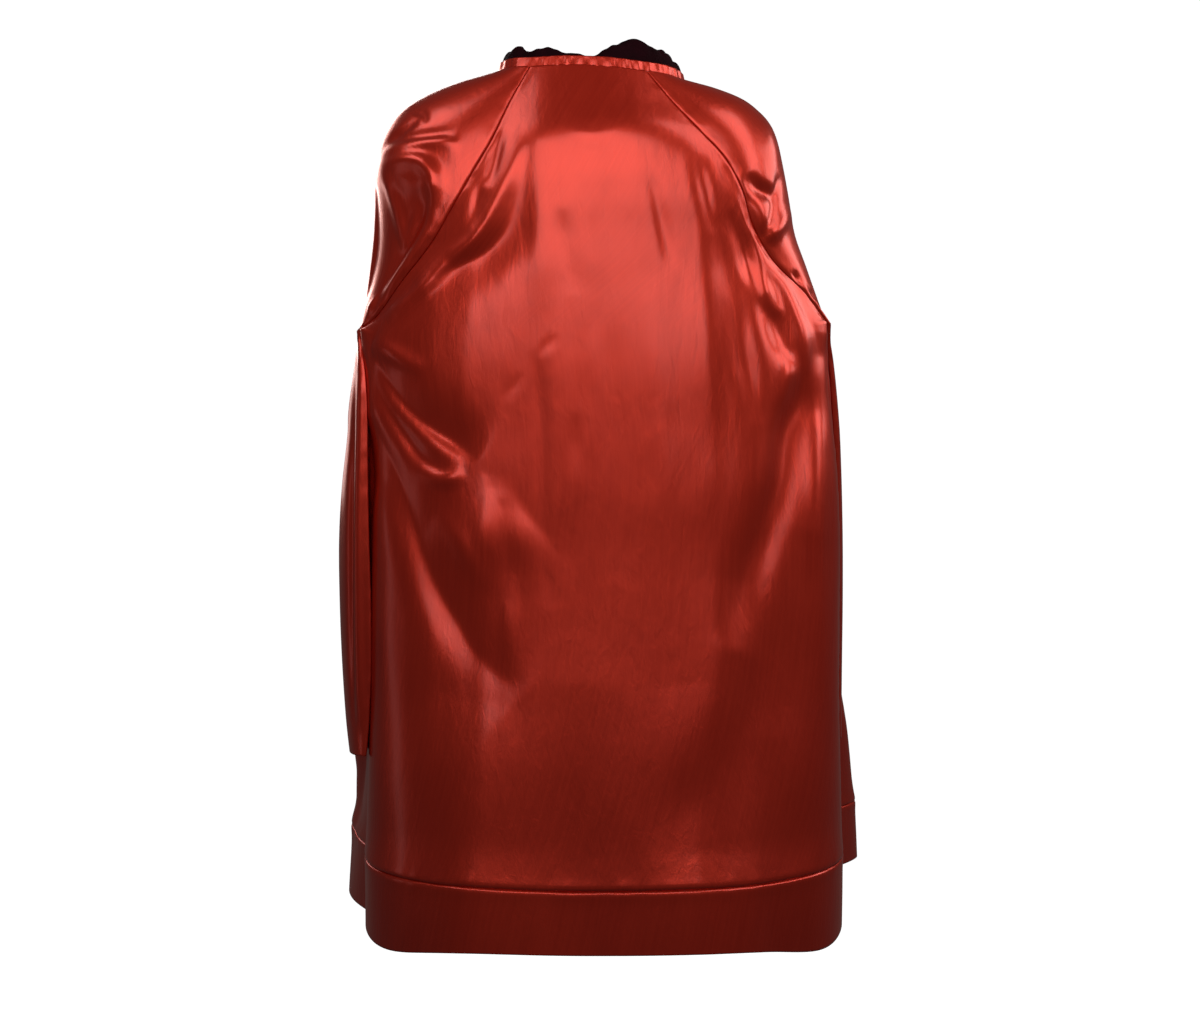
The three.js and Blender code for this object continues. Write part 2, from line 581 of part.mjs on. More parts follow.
// Collar profile: up from inside the neck band, over a rounded top and down again, open underneath
function collarProfile(over, share) {
  const place = collarShare.findIndex((s) => s >= share) || 1;
  const within = (share - collarShare[place - 1]) / (collarShare[place] - collarShare[place - 1]);
  const rise = through(collarHeight, place - 1 + within) - collarBase;
  const angle = Math.PI * over;
  const puff = collarPuffDepth * Math.sin(2 * Math.PI * collarPuffs * share + 2 * Math.sin(5 * share));
  const full = puff * Math.sin(angle) ** 2;
  const halfWidth = 4 + 0.16 * rise;
  const round = halfWidth * (1 + 0.3 * Math.sin(angle)) + 0.5 * full;
  return [-collarInset - halfWidth - collarLean * rise * Math.sin(angle) - round * Math.cos(angle),
    collarBase + (rise + 0.35 * full) * Math.sin(angle)];
}
sew('collar', neckStrip(6, collarColumns, collarProfile, velvetThickness), velvet());

export default coat;
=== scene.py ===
import math
import bpy
import numpy as np
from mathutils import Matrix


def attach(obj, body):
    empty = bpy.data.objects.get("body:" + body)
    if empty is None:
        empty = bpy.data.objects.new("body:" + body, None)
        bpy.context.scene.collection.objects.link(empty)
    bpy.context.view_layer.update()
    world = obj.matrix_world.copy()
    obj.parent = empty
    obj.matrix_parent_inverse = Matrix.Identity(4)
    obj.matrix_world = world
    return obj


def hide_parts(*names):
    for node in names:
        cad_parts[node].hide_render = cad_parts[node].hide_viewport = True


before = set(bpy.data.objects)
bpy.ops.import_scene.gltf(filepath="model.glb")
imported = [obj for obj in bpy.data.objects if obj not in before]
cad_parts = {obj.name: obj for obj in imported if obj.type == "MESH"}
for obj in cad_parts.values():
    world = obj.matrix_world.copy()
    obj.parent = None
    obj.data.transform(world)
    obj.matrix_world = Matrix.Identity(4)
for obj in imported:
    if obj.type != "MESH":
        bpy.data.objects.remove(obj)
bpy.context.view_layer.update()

# The coat's cut is in millimetres from the middle of the neckline: x to the wearer's left, y to the back,
# z up. place counts the stations of these tables down from the neckline, to the underarm and beyond
underarm = 8
raglan = {
    "backLeft": [[72, 76, 1], [96, 88, -45], [117, 98, -92], [141, 101, -134], [163, 99, -172],
                 [190, 89, -215], [226, 72, -257], [258, 48, -295], [283, 25, -312]],
    "backRight": [[-68, 75, -4], [-97, 87, -42], [-128, 96, -77], [-161, 98, -113], [-182, 95, -150],
                  [-196, 86, -192], [-222, 70, -233], [-262, 46, -268], [-292, 25, -303]],
    "topLeft": [[116, 0, 6], [168, -2, -5], [218, -4, -26], [250, -6, -54], [268, -10, -103],
                [270, -16, -158], [273, -26, -212], [282, -38, -268], [290, -50, -316]],
    "topRight": [[-120, 0, -6], [-158, -2, -12], [-199, -4, -29], [-225, -6, -58], [-240, -10, -103],
                 [-250, -16, -150], [-259, -28, -205], [-284, -42, -255], [-301, -52, -307]],
    "frontLeft": [[76, -72, -24], [100, -88, -60], [120, -100, -100], [142, -106, -140], [166, -106, -180],
                  [194, -98, -222], [228, -78, -262], [260, -34, -296], [283, 25, -312]],
    "middleBack": [[86, 1], [106, -43], [123, -83], [127, -124], [126, -162], [124, -203], [123, -245],
                   [122, -281], [122, -308]],
    "edgeLeft": [[5, -96, -50], [5, -106, -80], [5, -114, -113], [5, -120, -147], [5, -124, -182],
                 [5, -126, -216], [5, -127, -250], [5, -128, -282], [5, -128, -308]],
    "arc": [0.5, 0.6, 0.7, 0.78, 0.84, 0.88, 0.92, 0.96, 1],
    "out": [-12, -20, -28, -36, -42, -46, -40, -28, -12],
    "ahead": [10, 12, 14, 18, 24, 34, 50, 66, 80],
    "spread": [28, 40, 50, 58, 66, 80, 100, 126, 150],
    "rightShift": 9,
}
body = {
    "drop": [0, 60, 130, 200, 280, 360, 440, 520, 600, 650, 717],
    "sideLeft": [[283, 25], [278, 27], [274, 30], [271, 33], [270, 36], [269, 38], [268, 40], [269, 40],
                 [271, 36], [272, 33], [272, 30]],
    "sideRight": [[-292, 25], [-294, 29], [-299, 32], [-304, 36], [-306, 40], [-305, 44], [-304, 46],
                  [-305, 44], [-307, 40], [-308, 36], [-308, 30]],
    "backY": [122, 123, 126, 131, 139, 152, 170, 191, 213, 229, 247],
    "frontY": [-128, -131, -136, -143, -153, -167, -184, -204, -225, -241, -256],
    "square": [2.2, 2.2, 2.2, 2.3, 2.3, 2.4, 2.4, 2.5, 2.5, 2.6, 2.5],
    "edgeLeftX": [5, 5, 5, 5, 4, 2, 0, -3, -6, -8, -10],
    "edgeRightX": [-5, -7, -10, -13, -17, -22, -27, -32, -37, -41, -44],
    "outLeft": [-12, 16, 35, 44, 45, 42, 40, 40, 58, 80, 104],
    "aheadLeft": [80, 85, 90, 95, 100, 108, 118, 130, 145, 155, 160],
    "outRight": [-12, -6, -6, -4, -6, -12, -18, -16, -4, 8, 18],
    "aheadRight": [80, 85, 90, 95, 100, 105, 112, 120, 130, 136, 140],
    "spread": [150, 155, 160, 168, 185, 215, 240, 255, 265, 272, 280],
    "hem": -1029, "bandFrom": 9, "bandRise": 14, "edgeLift": 24, "squareLean": 0.06,
}
# How far the back's hem dips to both sides of the middle, and where it fades out towards the side seams
hemDip = {"left": -12, "right": -16, "at": 0.68, "width": 0.22, "fade": 0.12}
# How far the right front swings out below the sleeve, and about which share of its width
swing = {"side": [0, 0, 0, 6, 44, 94, 118, 126, 124, 120, 116], "share": 0.37, "width": 0.16,
         "power": 2.6, "x": -0.9, "y": -0.42}
arm = {
    "Left": {
        "drop": [0, 35, 70, 125, 190, 260, 340, 410, 478, 519],
        "seam": [[283, 25], [278, 42], [273, 50], [271, 53], [270, 56], [268, 60], [265, 65], [264, 70],
                 [266, 76], [269, 80]],
        "top": [[290, -50], [297, -45], [303, -40], [306, -35], [313, -30], [316, -25], [314, -18],
                [310, -10], [304, -2], [298, 6]],
        "reach": [-140, -135, -132, -125, -118, -110, -95, -78, -58, -42],
        "splay": [[0, 0], [3, 0], [8, 0], [16, 0], [24, 2], [30, 2], [30, 2], [24, 2], [20, 2], [16, 2]],
    },
    "Right": {
        "drop": [0, 35, 70, 125, 190, 260, 340, 410, 478, 519],
        "seam": [[-292, 25], [-295, 12], [-300, 5], [-304, -1], [-306, -6], [-307, -9], [-308, -12],
                 [-308, -14], [-308, -14], [-308, -14]],
        "top": [[-301, -52], [-303, -56], [-306, -60], [-313, -64], [-319, -68], [-322, -70], [-322, -70],
                [-321, -68], [-319, -64], [-318, -60]],
        "reach": [-150, -152, -152, -150, -146, -138, -126, -118, -112, -108],
        "splay": [[8, -2], [14, -4], [20, -4], [26, -4], [30, -4], [30, -4], [26, -4], [20, -4], [14, -4],
                  [12, -4]],
    },
    "underarmEase": 0.8, "easeReach": 0.67, "seamRound": 14, "closeFrom": 4.5,
    "topPull": 0.4, "frontPull": 0.6,
}
cloth = {"finer": 8, "easeFade": 24, "easeTurns": 4, "neckTurns": 60, "pathSteps": 12, "foldReach": 3,
         "satinThickness": 0.0012, "velvetThickness": 0.0018}
finer = cloth["finer"]
rowCount = {"raglan": 12 * finer, "body": 17 * finer, "band": 3 * finer, "arm": 12 * finer}
columnCount = {"back": 25 * finer, "front": 14 * finer, "sleeve": 14 * finer}
underarmRow, bandRow = rowCount["raglan"], rowCount["raglan"] + rowCount["body"]


# Smooth curve through a table's rows: cubic stretches whose slope at a row comes from its two neighbours
def through(table, place):
    rows = np.asarray(table, float)
    place = np.asarray(place, float)
    last = len(rows) - 1
    step = np.clip(np.floor(place).astype(int), 0, last - 1)
    f = place - step if rows.ndim == 1 else (place - step)[..., None]
    a, b, c, d = (rows[np.clip(step + k, 0, last)] for k in (-1, 0, 1, 2))
    return b + 0.5 * f * (c - a + f * (2 * a - 5 * b + 4 * c - d + f * (3 * (b - c) + d - a)))


# Cubic curve of four control points: (1-s)^3 a + 3(1-s)^2 s b + 3(1-s) s^2 c + s^3 d, rows by columns
def cubicRows(a, b, c, d, s):
    s = s[None, :, None]
    r = 1 - s
    a, b, c, d = (p[:, None, :] for p in (a, b, c, d))
    return r ** 3 * a + 3 * r * r * s * b + 3 * r * s * s * c + s ** 3 * d


# 0 below low, 1 above high, and 3t^2 - 2t^3 between
def smooth(x, low, high):
    t = np.clip((x - low) / (high - low), 0, 1)
    return t * t * (3 - 2 * t)


def across(*columns):
    return np.stack(np.broadcast_arrays(*columns), -1)


# The place above the underarm, the depth below it, and whether the place is below it
def aboveAndBelow(place):
    return np.minimum(place, underarm), np.maximum(place - underarm, 0), place > underarm


# The side seam below the underarm: x and y from the body's table, z in proportion to the drop
def sideSeam(side, depth):
    xy = through(body["side" + side], depth)
    start = raglan["back" + side][underarm][2]
    level = start + (body["hem"] - start) * through(body["drop"], depth) / body["drop"][-1]
    return across(xy[:, 0], xy[:, 1], level)


# The raglan seam of a front: the right one is the left one's mirror image, shifted a little
def frontSeam(side, upper):
    point = through(raglan["frontLeft"], upper)
    if side == "Left":
        return point
    shift = raglan["rightShift"] * upper / underarm
    return across(-point[:, 0] - shift, point[:, 1], point[:, 2] + shift)


# How much higher the side seams and fronts carry the top of the hem band
def bandLift(depth):
    return body["bandRise"] * np.maximum(1 - np.abs(depth - body["bandFrom"]), 0)


# The back: each row is a superellipse arc from the left seam over the centre back to the right seam,
# y = ((1 - |x|^p)^(1/p) - f) / (1 - f), with f its value at the seams
def backSurface(place, share):
    upper, depth, below = aboveAndBelow(place)
    left = np.where(below[:, None], sideSeam("Left", depth), through(raglan["backLeft"], upper))
    right = np.where(below[:, None], sideSeam("Right", depth), through(raglan["backRight"], upper))
    middle = through(raglan["middleBack"], upper)
    seams = (left + right) / 2
    middleY = np.where(below, through(body["backY"], depth), middle[:, 0])
    middleZ = np.where(below, seams[:, 2], middle[:, 1])
    arc = np.where(below, 1, np.clip(through(raglan["arc"], upper), 0, 1))[:, None]
    square = np.where(below, through(body["square"], depth), body["square"][0])[:, None]
    widest = np.arcsin(arc)
    side = np.sin((2 * share[None, :] - 1) * widest) / np.sin(widest)
    power = square * (1 - body["squareLean"] * side)
    flat = (1 - arc ** power) ** (1 / power)
    bulge = (np.maximum(1 - np.abs(side * arc) ** power, 0) ** (1 / power) - flat) / (1 - flat)
    points = left[:, None] + (right - left)[:, None] * (side[..., None] + 1) / 2
    points[..., 1] += (middleY - seams[:, 1])[:, None] * bulge
    points[..., 2] += (middleZ - seams[:, 2])[:, None] * (1 - side ** 2)
    even = 2 * share[None, :] - 1
    dip = np.where(even < 0, hemDip["left"], hemDip["right"])
    dip = dip * np.exp(-((np.abs(even) - hemDip["at"]) / hemDip["width"]) ** 2)
    dip = dip * smooth(1 - np.abs(even), 0, hemDip["fade"])
    points[..., 2] += dip * np.maximum(depth - body["bandFrom"], 0)[:, None]
    points[..., 2] += bandLift(depth)[:, None] * even ** 2
    return points


# A front: each row is one cubic curve from the front edge to the side seam, and the right one swings out
def frontSurface(side, place, share):
    sign = 1 if side == "Left" else -1
    upper, depth, below = aboveAndBelow(place)
    drop = through(body["drop"], depth)
    edge = through(raglan["edgeLeft"], upper) * [sign, 1, 1]
    lift = body["edgeLift"] * (drop / body["drop"][-1]) ** 2
    lower = across(through(body["edge" + side + "X"], depth), through(body["frontY"], depth),
                   raglan["edgeLeft"][underarm][2] - drop + lift)
    edge = np.where(below[:, None], lower, edge)
    seam = np.where(below[:, None], sideSeam(side, depth), frontSeam(side, upper))
    spread = np.where(below, through(body["spread"], depth), through(raglan["spread"], upper))
    out = np.where(below, through(body["out" + side], depth), through(raglan["out"], upper))
    ahead = np.where(below, through(body["ahead" + side], depth), through(raglan["ahead"], upper))
    fall = (seam[:, 2] - edge[:, 2]) / 3
    if side == "Right":
        share = 1 - share
    points = cubicRows(edge, edge + across(sign * spread, 0, fall),
                       seam + across(sign * out, -ahead, -fall), seam, share)
    points[..., 2] += bandLift(depth)[:, None]
    if side == "Right":
        bell = np.exp(-np.abs((share - swing["share"]) / swing["width"]) ** swing["power"])[None, :]
        swung = bell * through(swing["side"], depth)[:, None]
        points[..., :2] += swung[..., None] * [swing["x"], swing["y"]]
    return points


# A sleeve: each row is two cubic curves, front seam to overarm line to back seam, near quarter ellipses
# on the shoulder and closing below the underarm into a flattened ring. forward sets the first curve's
# handles so that its middle lies at y = reach
def sleeveSurface(side, place, share):
    rings = arm[side]
    sign = 1 if side == "Left" else -1
    quarter = 0.5523
    upper, depth, below = aboveAndBelow(place)
    below = below[:, None]
    level = raglan["back" + side][underarm][2] - through(rings["drop"], depth)
    seam, crest = (across(*through(rings[k], depth).T, level) for k in ("seam", "top"))
    front = np.where(below, seam, frontSeam(side, upper))
    rear = np.where(below, seam, through(raglan["back" + side], upper))
    top = np.where(below, crest, through(raglan["top" + side], upper))
    ease = sign * arm["underarmEase"] * np.maximum(1 - np.abs(place - underarm) / arm["easeReach"], 0)
    front[:, 0] += ease
    rear[:, 0] += ease
    closing = np.where(below[:, 0], 1, smooth(upper, arm["closeFrom"], underarm))[:, None]
    reach, splay = through(rings["reach"], depth), through(rings["splay"], depth)
    forward = np.maximum((4 * (top[:, 1] + front[:, 1]) - 8 * reach) / 3, 0)
    gap = top - front
    topHandle = (across(0, -quarter * gap[:, 1], 0) * (1 - closing)
                 + across(splay[:, 1], -arm["topPull"] * forward, 0) * closing)
    frontHandle = (across(quarter * gap[:, 0], 0, quarter * gap[:, 2]) * (1 - closing)
                   + across(splay[:, 0], -arm["frontPull"] * forward, 0) * closing)
    beside = np.maximum(quarter * np.abs(top - rear)[:, 0], arm["seamRound"] * closing[:, 0]) * sign
    backHandle = across(beside, 0, quarter * (top - rear)[:, 2])
    if side == "Right":
        share = 1 - share
    ahead = cubicRows(front, front + frontHandle, top + topHandle, top, np.clip(share * 2, 0, 1))
    behind = cubicRows(top, top + across(0, quarter * (rear - top)[:, 1], 0), rear + backHandle, rear,
                       np.clip(share * 2 - 1, 0, 1))
    return np.where((share <= 0.5)[None, :, None], ahead, behind)


# Evens out the slope under the arm, over reach rows up and down: in each turn a row goes half way to the
# mean of its neighbours. The change fades in over some rows at both ends, and is 0 for the first and last
# 1/spans of a row
def easeRows(points, share, reach, spans):
    first, last = underarmRow - reach + 1, underarmRow + reach
    eased = points.copy()
    for _ in range(cloth["easeTurns"] * finer ** 2):
        beside = eased[first - 1:last - 1] + eased[first + 1:last + 1]
        eased[first:last] = 0.5 * eased[first:last] + 0.25 * beside
    row = np.arange(len(points))
    fade = smooth(row, first, first + cloth["easeFade"]) * smooth(row, last, last - cloth["easeFade"])
    weight = np.clip(share * spans - 1, 0, 1) * np.clip((1 - share) * spans - 1, 0, 1)
    return points + (eased - points) * (fade[:, None] * weight[None, :])[..., None]


# Outward normals: the direction down a column crossed with the direction along a row
def normalsOf(points):
    normals = np.cross(np.gradient(points, axis=0), np.gradient(points, axis=1))
    return normals / np.maximum(np.linalg.norm(normals, axis=-1, keepdims=True), 1e-9)


# Height of listed folds. Each is a curve through its rows [x, z, height]. Across the curve the
# height falls as exp(-|d/w|^p): d is the distance to it, w is wide[0] on one side of it and wide[1] on the
# other, and p is sharp
def foldHeight(x, z, folds):
    height = np.zeros(x.shape)
    for one in folds:
        path, wide = np.array(one["path"], float), np.array(one["wide"], float)
        spans = len(path) - 1
        line = through(path, np.linspace(0, spans, cloth["pathSteps"] * spans + 1))
        slope = np.gradient(line, axis=0)
        reach = cloth["foldReach"] * wide.max()
        near = ((x > line[:, 0].min() - reach) & (x < line[:, 0].max() + reach)
                & (z > line[:, 1].min() - reach) & (z < line[:, 1].max() + reach))
        px, pz = x[near], z[near]
        best = ((px[:, None] - line[:, 0]) ** 2 + (pz[:, None] - line[:, 1]) ** 2).argmin(1)
        at, way = line[best], slope[best]
        dx, dz = px - at[:, 0], pz - at[:, 1]
        on = np.clip((dx * way[:, 0] + dz * way[:, 1]) / (way[:, 0] ** 2 + way[:, 1] ** 2), -0.5, 0.5)
        dx, dz = dx - on * way[:, 0], dz - on * way[:, 1]
        width = np.where(way[:, 0] * dz - way[:, 1] * dx > 0, wide[0], wide[1])
        high = at[:, 2] + on * way[:, 2]
        height[near] += high * np.exp(-(np.hypot(dx, dz) / width) ** one["sharp"])
    return height


lattice = {"cells": 64, "startX": 20.37, "startZ": 40.71}


# Uneven waves about 0: a lattice of seeded random heights, blended with 3t^2 - 2t^3 between its points
def unevenness(x, z, cellX, cellZ, seed):
    cells = lattice["cells"]
    heights = np.random.default_rng(seed).uniform(-1, 1, (cells, cells))
    u, v = x / cellX + lattice["startX"], z / cellZ + lattice["startZ"]
    i, j = np.floor(u).astype(int), np.floor(v).astype(int)
    s, t = smooth(u - i, 0, 1), smooth(v - j, 0, 1)

    def corner(a, b):
        return heights[(i + a) % cells, (j + b) % cells]

    return ((corner(0, 0) * (1 - s) + corner(1, 0) * s) * (1 - t)
            + (corner(0, 1) * (1 - s) + corner(1, 1) * s) * t)


# Distance along the cloth from the first row or column
def lengthAlong(points, axis):
    steps = np.linalg.norm(np.diff(points, axis=axis), axis=-1)
    total = np.cumsum(steps, axis=axis)
    start = np.zeros_like(np.take(total, [0], axis=axis))
    return np.concatenate([start, total], axis=axis)


scene = bpy.context.scene
scene.view_settings.view_transform = "Standard"
metre = 0.001
pieces = {}


# The four corners of each quad of a grid, as indices of its points
def gridQuads(rows, columns):
    index = np.arange(rows * columns).reshape(rows, columns)
    return np.stack([index[:-1, :-1], index[1:, :-1], index[1:, 1:], index[:-1, 1:]], -1).reshape(-1, 4)


# A mesh of quads from a grid of points in millimetres, with the cloth's own map in metres
def clothMesh(name, points, thickness, material):
    rows, columns = points.shape[:2]
    quads = gridQuads(rows, columns)
    mesh = bpy.data.meshes.new(name)
    mesh.vertices.add(rows * columns)
    mesh.vertices.foreach_set("co", (points * metre).astype(np.float32).ravel())
    mesh.loops.add(quads.size)
    mesh.loops.foreach_set("vertex_index", quads.ravel().astype(np.int32))
    mesh.polygons.add(len(quads))
    mesh.polygons.foreach_set("loop_start", np.arange(0, quads.size, 4, dtype=np.int32))
    mesh.update(calc_edges=True)
    mesh.polygons.foreach_set("use_smooth", np.ones(len(quads), bool))
    flatMap = np.stack([lengthAlong(points, 1), -lengthAlong(points, 0)], -1) * metre
    layer = mesh.uv_layers.new(name="cloth")
    layer.data.foreach_set("uv", flatMap.reshape(-1, 2)[quads.ravel()].astype(np.float32).ravel())
    piece = bpy.data.objects.new(name, mesh)
    scene.collection.objects.link(piece)
    mesh.materials.append(material)
    shell = piece.modifiers.new("thickness", "SOLIDIFY")
    shell.thickness = thickness
    shell.offset = -1
    pieces[name] = piece


# One socket of a shader tree: + - * with numbers or other sockets add the tree's Math nodes
class Wire:
    def __init__(self, tree, socket=None):
        self.tree, self.socket = tree, socket

    # Any node: its type, its settings, then the values or links of its sockets; gives one output
    def node(self, kind, settings=None, sockets=None, output=0):
        made = self.tree.nodes.new(kind)
        for name, value in (settings or {}).items():
            setattr(made, name, value)
        for name, value in (sockets or {}).items():
            if isinstance(value, Wire):
                self.tree.links.new(value.socket, made.inputs[name])
            else:
                made.inputs[name].default_value = value
        return Wire(self.tree, made.outputs[output] if made.outputs else None)

    def math(self, operation, a, b):
        return self.node("ShaderNodeMath", {"operation": operation}, {0: a, 1: b})

    def __add__(self, other):
        return self.math("ADD", self, other)

    def __sub__(self, other):
        return self.math("SUBTRACT", self, other)

    def __mul__(self, other):
        return self.math("MULTIPLY", self, other)

    def __rsub__(self, other):
        return self.math("SUBTRACT", other, self)

    __radd__ = __add__
    __rmul__ = __mul__

    # The colour between two that this socket says
    def mix(self, low, high):
        return self.node("ShaderNodeMix", {"data_type": "RGBA"}, {"Factor": self, 6: low, 7: high}, 2)


# Noise whose features are about 1 / scale in size, or as large as stretch says along each axis
def noise(wire, place, detail, roughness, scale=1, distortion=0.0, stretch=None):
    if stretch is not None:
        sockets = {"Vector": place, "Scale": stretch}
        place = wire.node("ShaderNodeMapping", {"vector_type": "TEXTURE"}, sockets)
    return wire.node("ShaderNodeTexNoise", {}, {"Vector": place, "Scale": scale, "Detail": detail,
                                                "Roughness": roughness, "Distortion": distortion})


# A bump of a depth in metres, over the normal of a coarser one if there is one
def bump(wire, height, depth, strength, coarser=None):
    sockets = {"Strength": strength, "Distance": depth, "Height": height}
    if coarser is not None:
        sockets["Normal"] = coarser
    return wire.node("ShaderNodeBump", {}, sockets)


def emptyMaterial(name):
    material = bpy.data.materials.new(name)
    material.use_nodes = True
    material.node_tree.nodes.clear()
    return material, Wire(material.node_tree)


satinLook = {
    "deep": (0.34, 0.009, 0.0025, 1), "bright": (0.55, 0.028, 0.01, 1), "streakShare": 0.45,
    "streaks": {"stretch": (0.004, 0.12, 1), "detail": 3, "roughness": 0.6},
    "clouds": {"scale": 7, "detail": 3, "roughness": 0.55},
    "weave": {"stretch": (0.0009, 0.006, 1), "detail": 1, "roughness": 0.5},
    "crumple": {"stretch": (0.05, 0.05, 0.11), "detail": 3, "roughness": 0.5, "distortion": 0.4},
    "wrinkle": {"stretch": (0.011, 0.011, 0.042), "detail": 4, "roughness": 0.6, "distortion": 0.8},
    "crumpleDepth": 0.0012, "wrinkleDepth": 0.0008, "weaveDepth": 0.00006,
    "foldStrength": 0.6, "weaveStrength": 0.5, "metal": 0.62, "gloss": 0.33, "glossSpread": 0.06,
    "mirror": 0.6, "mirrorTint": (1.0, 0.5, 0.35, 1), "film": 0.4, "filmGloss": 0.2,
}


# Satin: a warm metal-like base whose gloss varies slowly, with warp streaks, fine crumples and a weave
def satin():
    material, wire = emptyMaterial("satin")
    place = wire.node("ShaderNodeTexCoord", output="Object")
    flat = wire.node("ShaderNodeTexCoord", output="UV")
    streaks = noise(wire, flat, **satinLook["streaks"])
    clouds = noise(wire, place, **satinLook["clouds"])
    weave = noise(wire, flat, **satinLook["weave"])
    crumple = noise(wire, place, **satinLook["crumple"])
    wrinkle = noise(wire, place, **satinLook["wrinkle"])
    tone = clouds * (1 - satinLook["streakShare"]) + streaks * satinLook["streakShare"]
    colour = tone.mix(satinLook["deep"], satinLook["bright"])
    roughness = satinLook["gloss"] + satinLook["glossSpread"] * (streaks - 0.5)
    coarse = bump(wire, crumple, satinLook["crumpleDepth"], satinLook["foldStrength"])
    middle = bump(wire, wrinkle, satinLook["wrinkleDepth"], satinLook["foldStrength"], coarse)
    fine = bump(wire, weave, satinLook["weaveDepth"], satinLook["weaveStrength"], middle)
    surface = wire.node("ShaderNodeBsdfPrincipled", {}, {
        "Base Color": colour, "Roughness": roughness, "Metallic": satinLook["metal"], "Normal": fine,
        "Specular IOR Level": satinLook["mirror"], "Specular Tint": satinLook["mirrorTint"],
        "Coat Weight": satinLook["film"], "Coat Roughness": satinLook["filmGloss"]})
    wire.node("ShaderNodeOutputMaterial", {}, {"Surface": surface})
    return material


velvetLook = {
    "deep": (0.0035, 0.0004, 0.0008, 1), "bright": (0.016, 0.001, 0.003, 1),
    "nap": {"scale": 38, "detail": 4, "roughness": 0.6, "distortion": 0.5},
    "pile": {"scale": 900, "detail": 2, "roughness": 0.6},
    "napGain": 1.3, "napHeight": 1.5, "pileDepth": 0.0006, "pileStrength": 0.6, "roughness": 0.85,
    "mirror": 0.04, "sheen": 0.012, "sheenSpread": 0.35, "sheenTint": (0.5, 0.06, 0.12, 1),
}


# Velvet: nearly black with a burgundy nap that lies in patches, and a soft sheen along edges
def velvet():
    material, wire = emptyMaterial("velvet")
    place = wire.node("ShaderNodeTexCoord", output="Object")
    nap = noise(wire, place, **velvetLook["nap"])
    pile = noise(wire, place, **velvetLook["pile"])
    colour = (nap * nap * velvetLook["napGain"]).mix(velvetLook["deep"], velvetLook["bright"])
    relief = bump(wire, pile + nap * velvetLook["napHeight"], velvetLook["pileDepth"],
                  velvetLook["pileStrength"])
    surface = wire.node("ShaderNodeBsdfPrincipled", {}, {
        "Base Color": colour, "Roughness": velvetLook["roughness"], "Normal": relief,
        "Sheen Weight": velvetLook["sheen"], "Sheen Roughness": velvetLook["sheenSpread"],
        "Sheen Tint": velvetLook["sheenTint"], "Specular IOR Level": velvetLook["mirror"]})
    wire.node("ShaderNodeOutputMaterial", {}, {"Surface": surface})
    return material


satinFinish, velvetFinish = satin(), velvet()
print("materials made")


# So many evenly spaced places after start, the last at start + length
def placesAfter(start, length, count):
    return start + length * np.arange(1, count + 1) / count


raglanPlaces = np.linspace(0, underarm, rowCount["raglan"] + 1)
panelPlaces = np.concatenate([raglanPlaces, placesAfter(underarm, body["bandFrom"], rowCount["body"]),
                              placesAfter(underarm + body["bandFrom"], 1, rowCount["band"])])
sleevePlaces = np.concatenate([raglanPlaces, placesAfter(underarm, len(arm["Left"]["drop"]) - 1,
                                                         rowCount["arm"])])


# A fold for foldHeight
def fold(wide, path, sharp=2):
    return {"wide": wide, "path": path, "sharp": sharp}


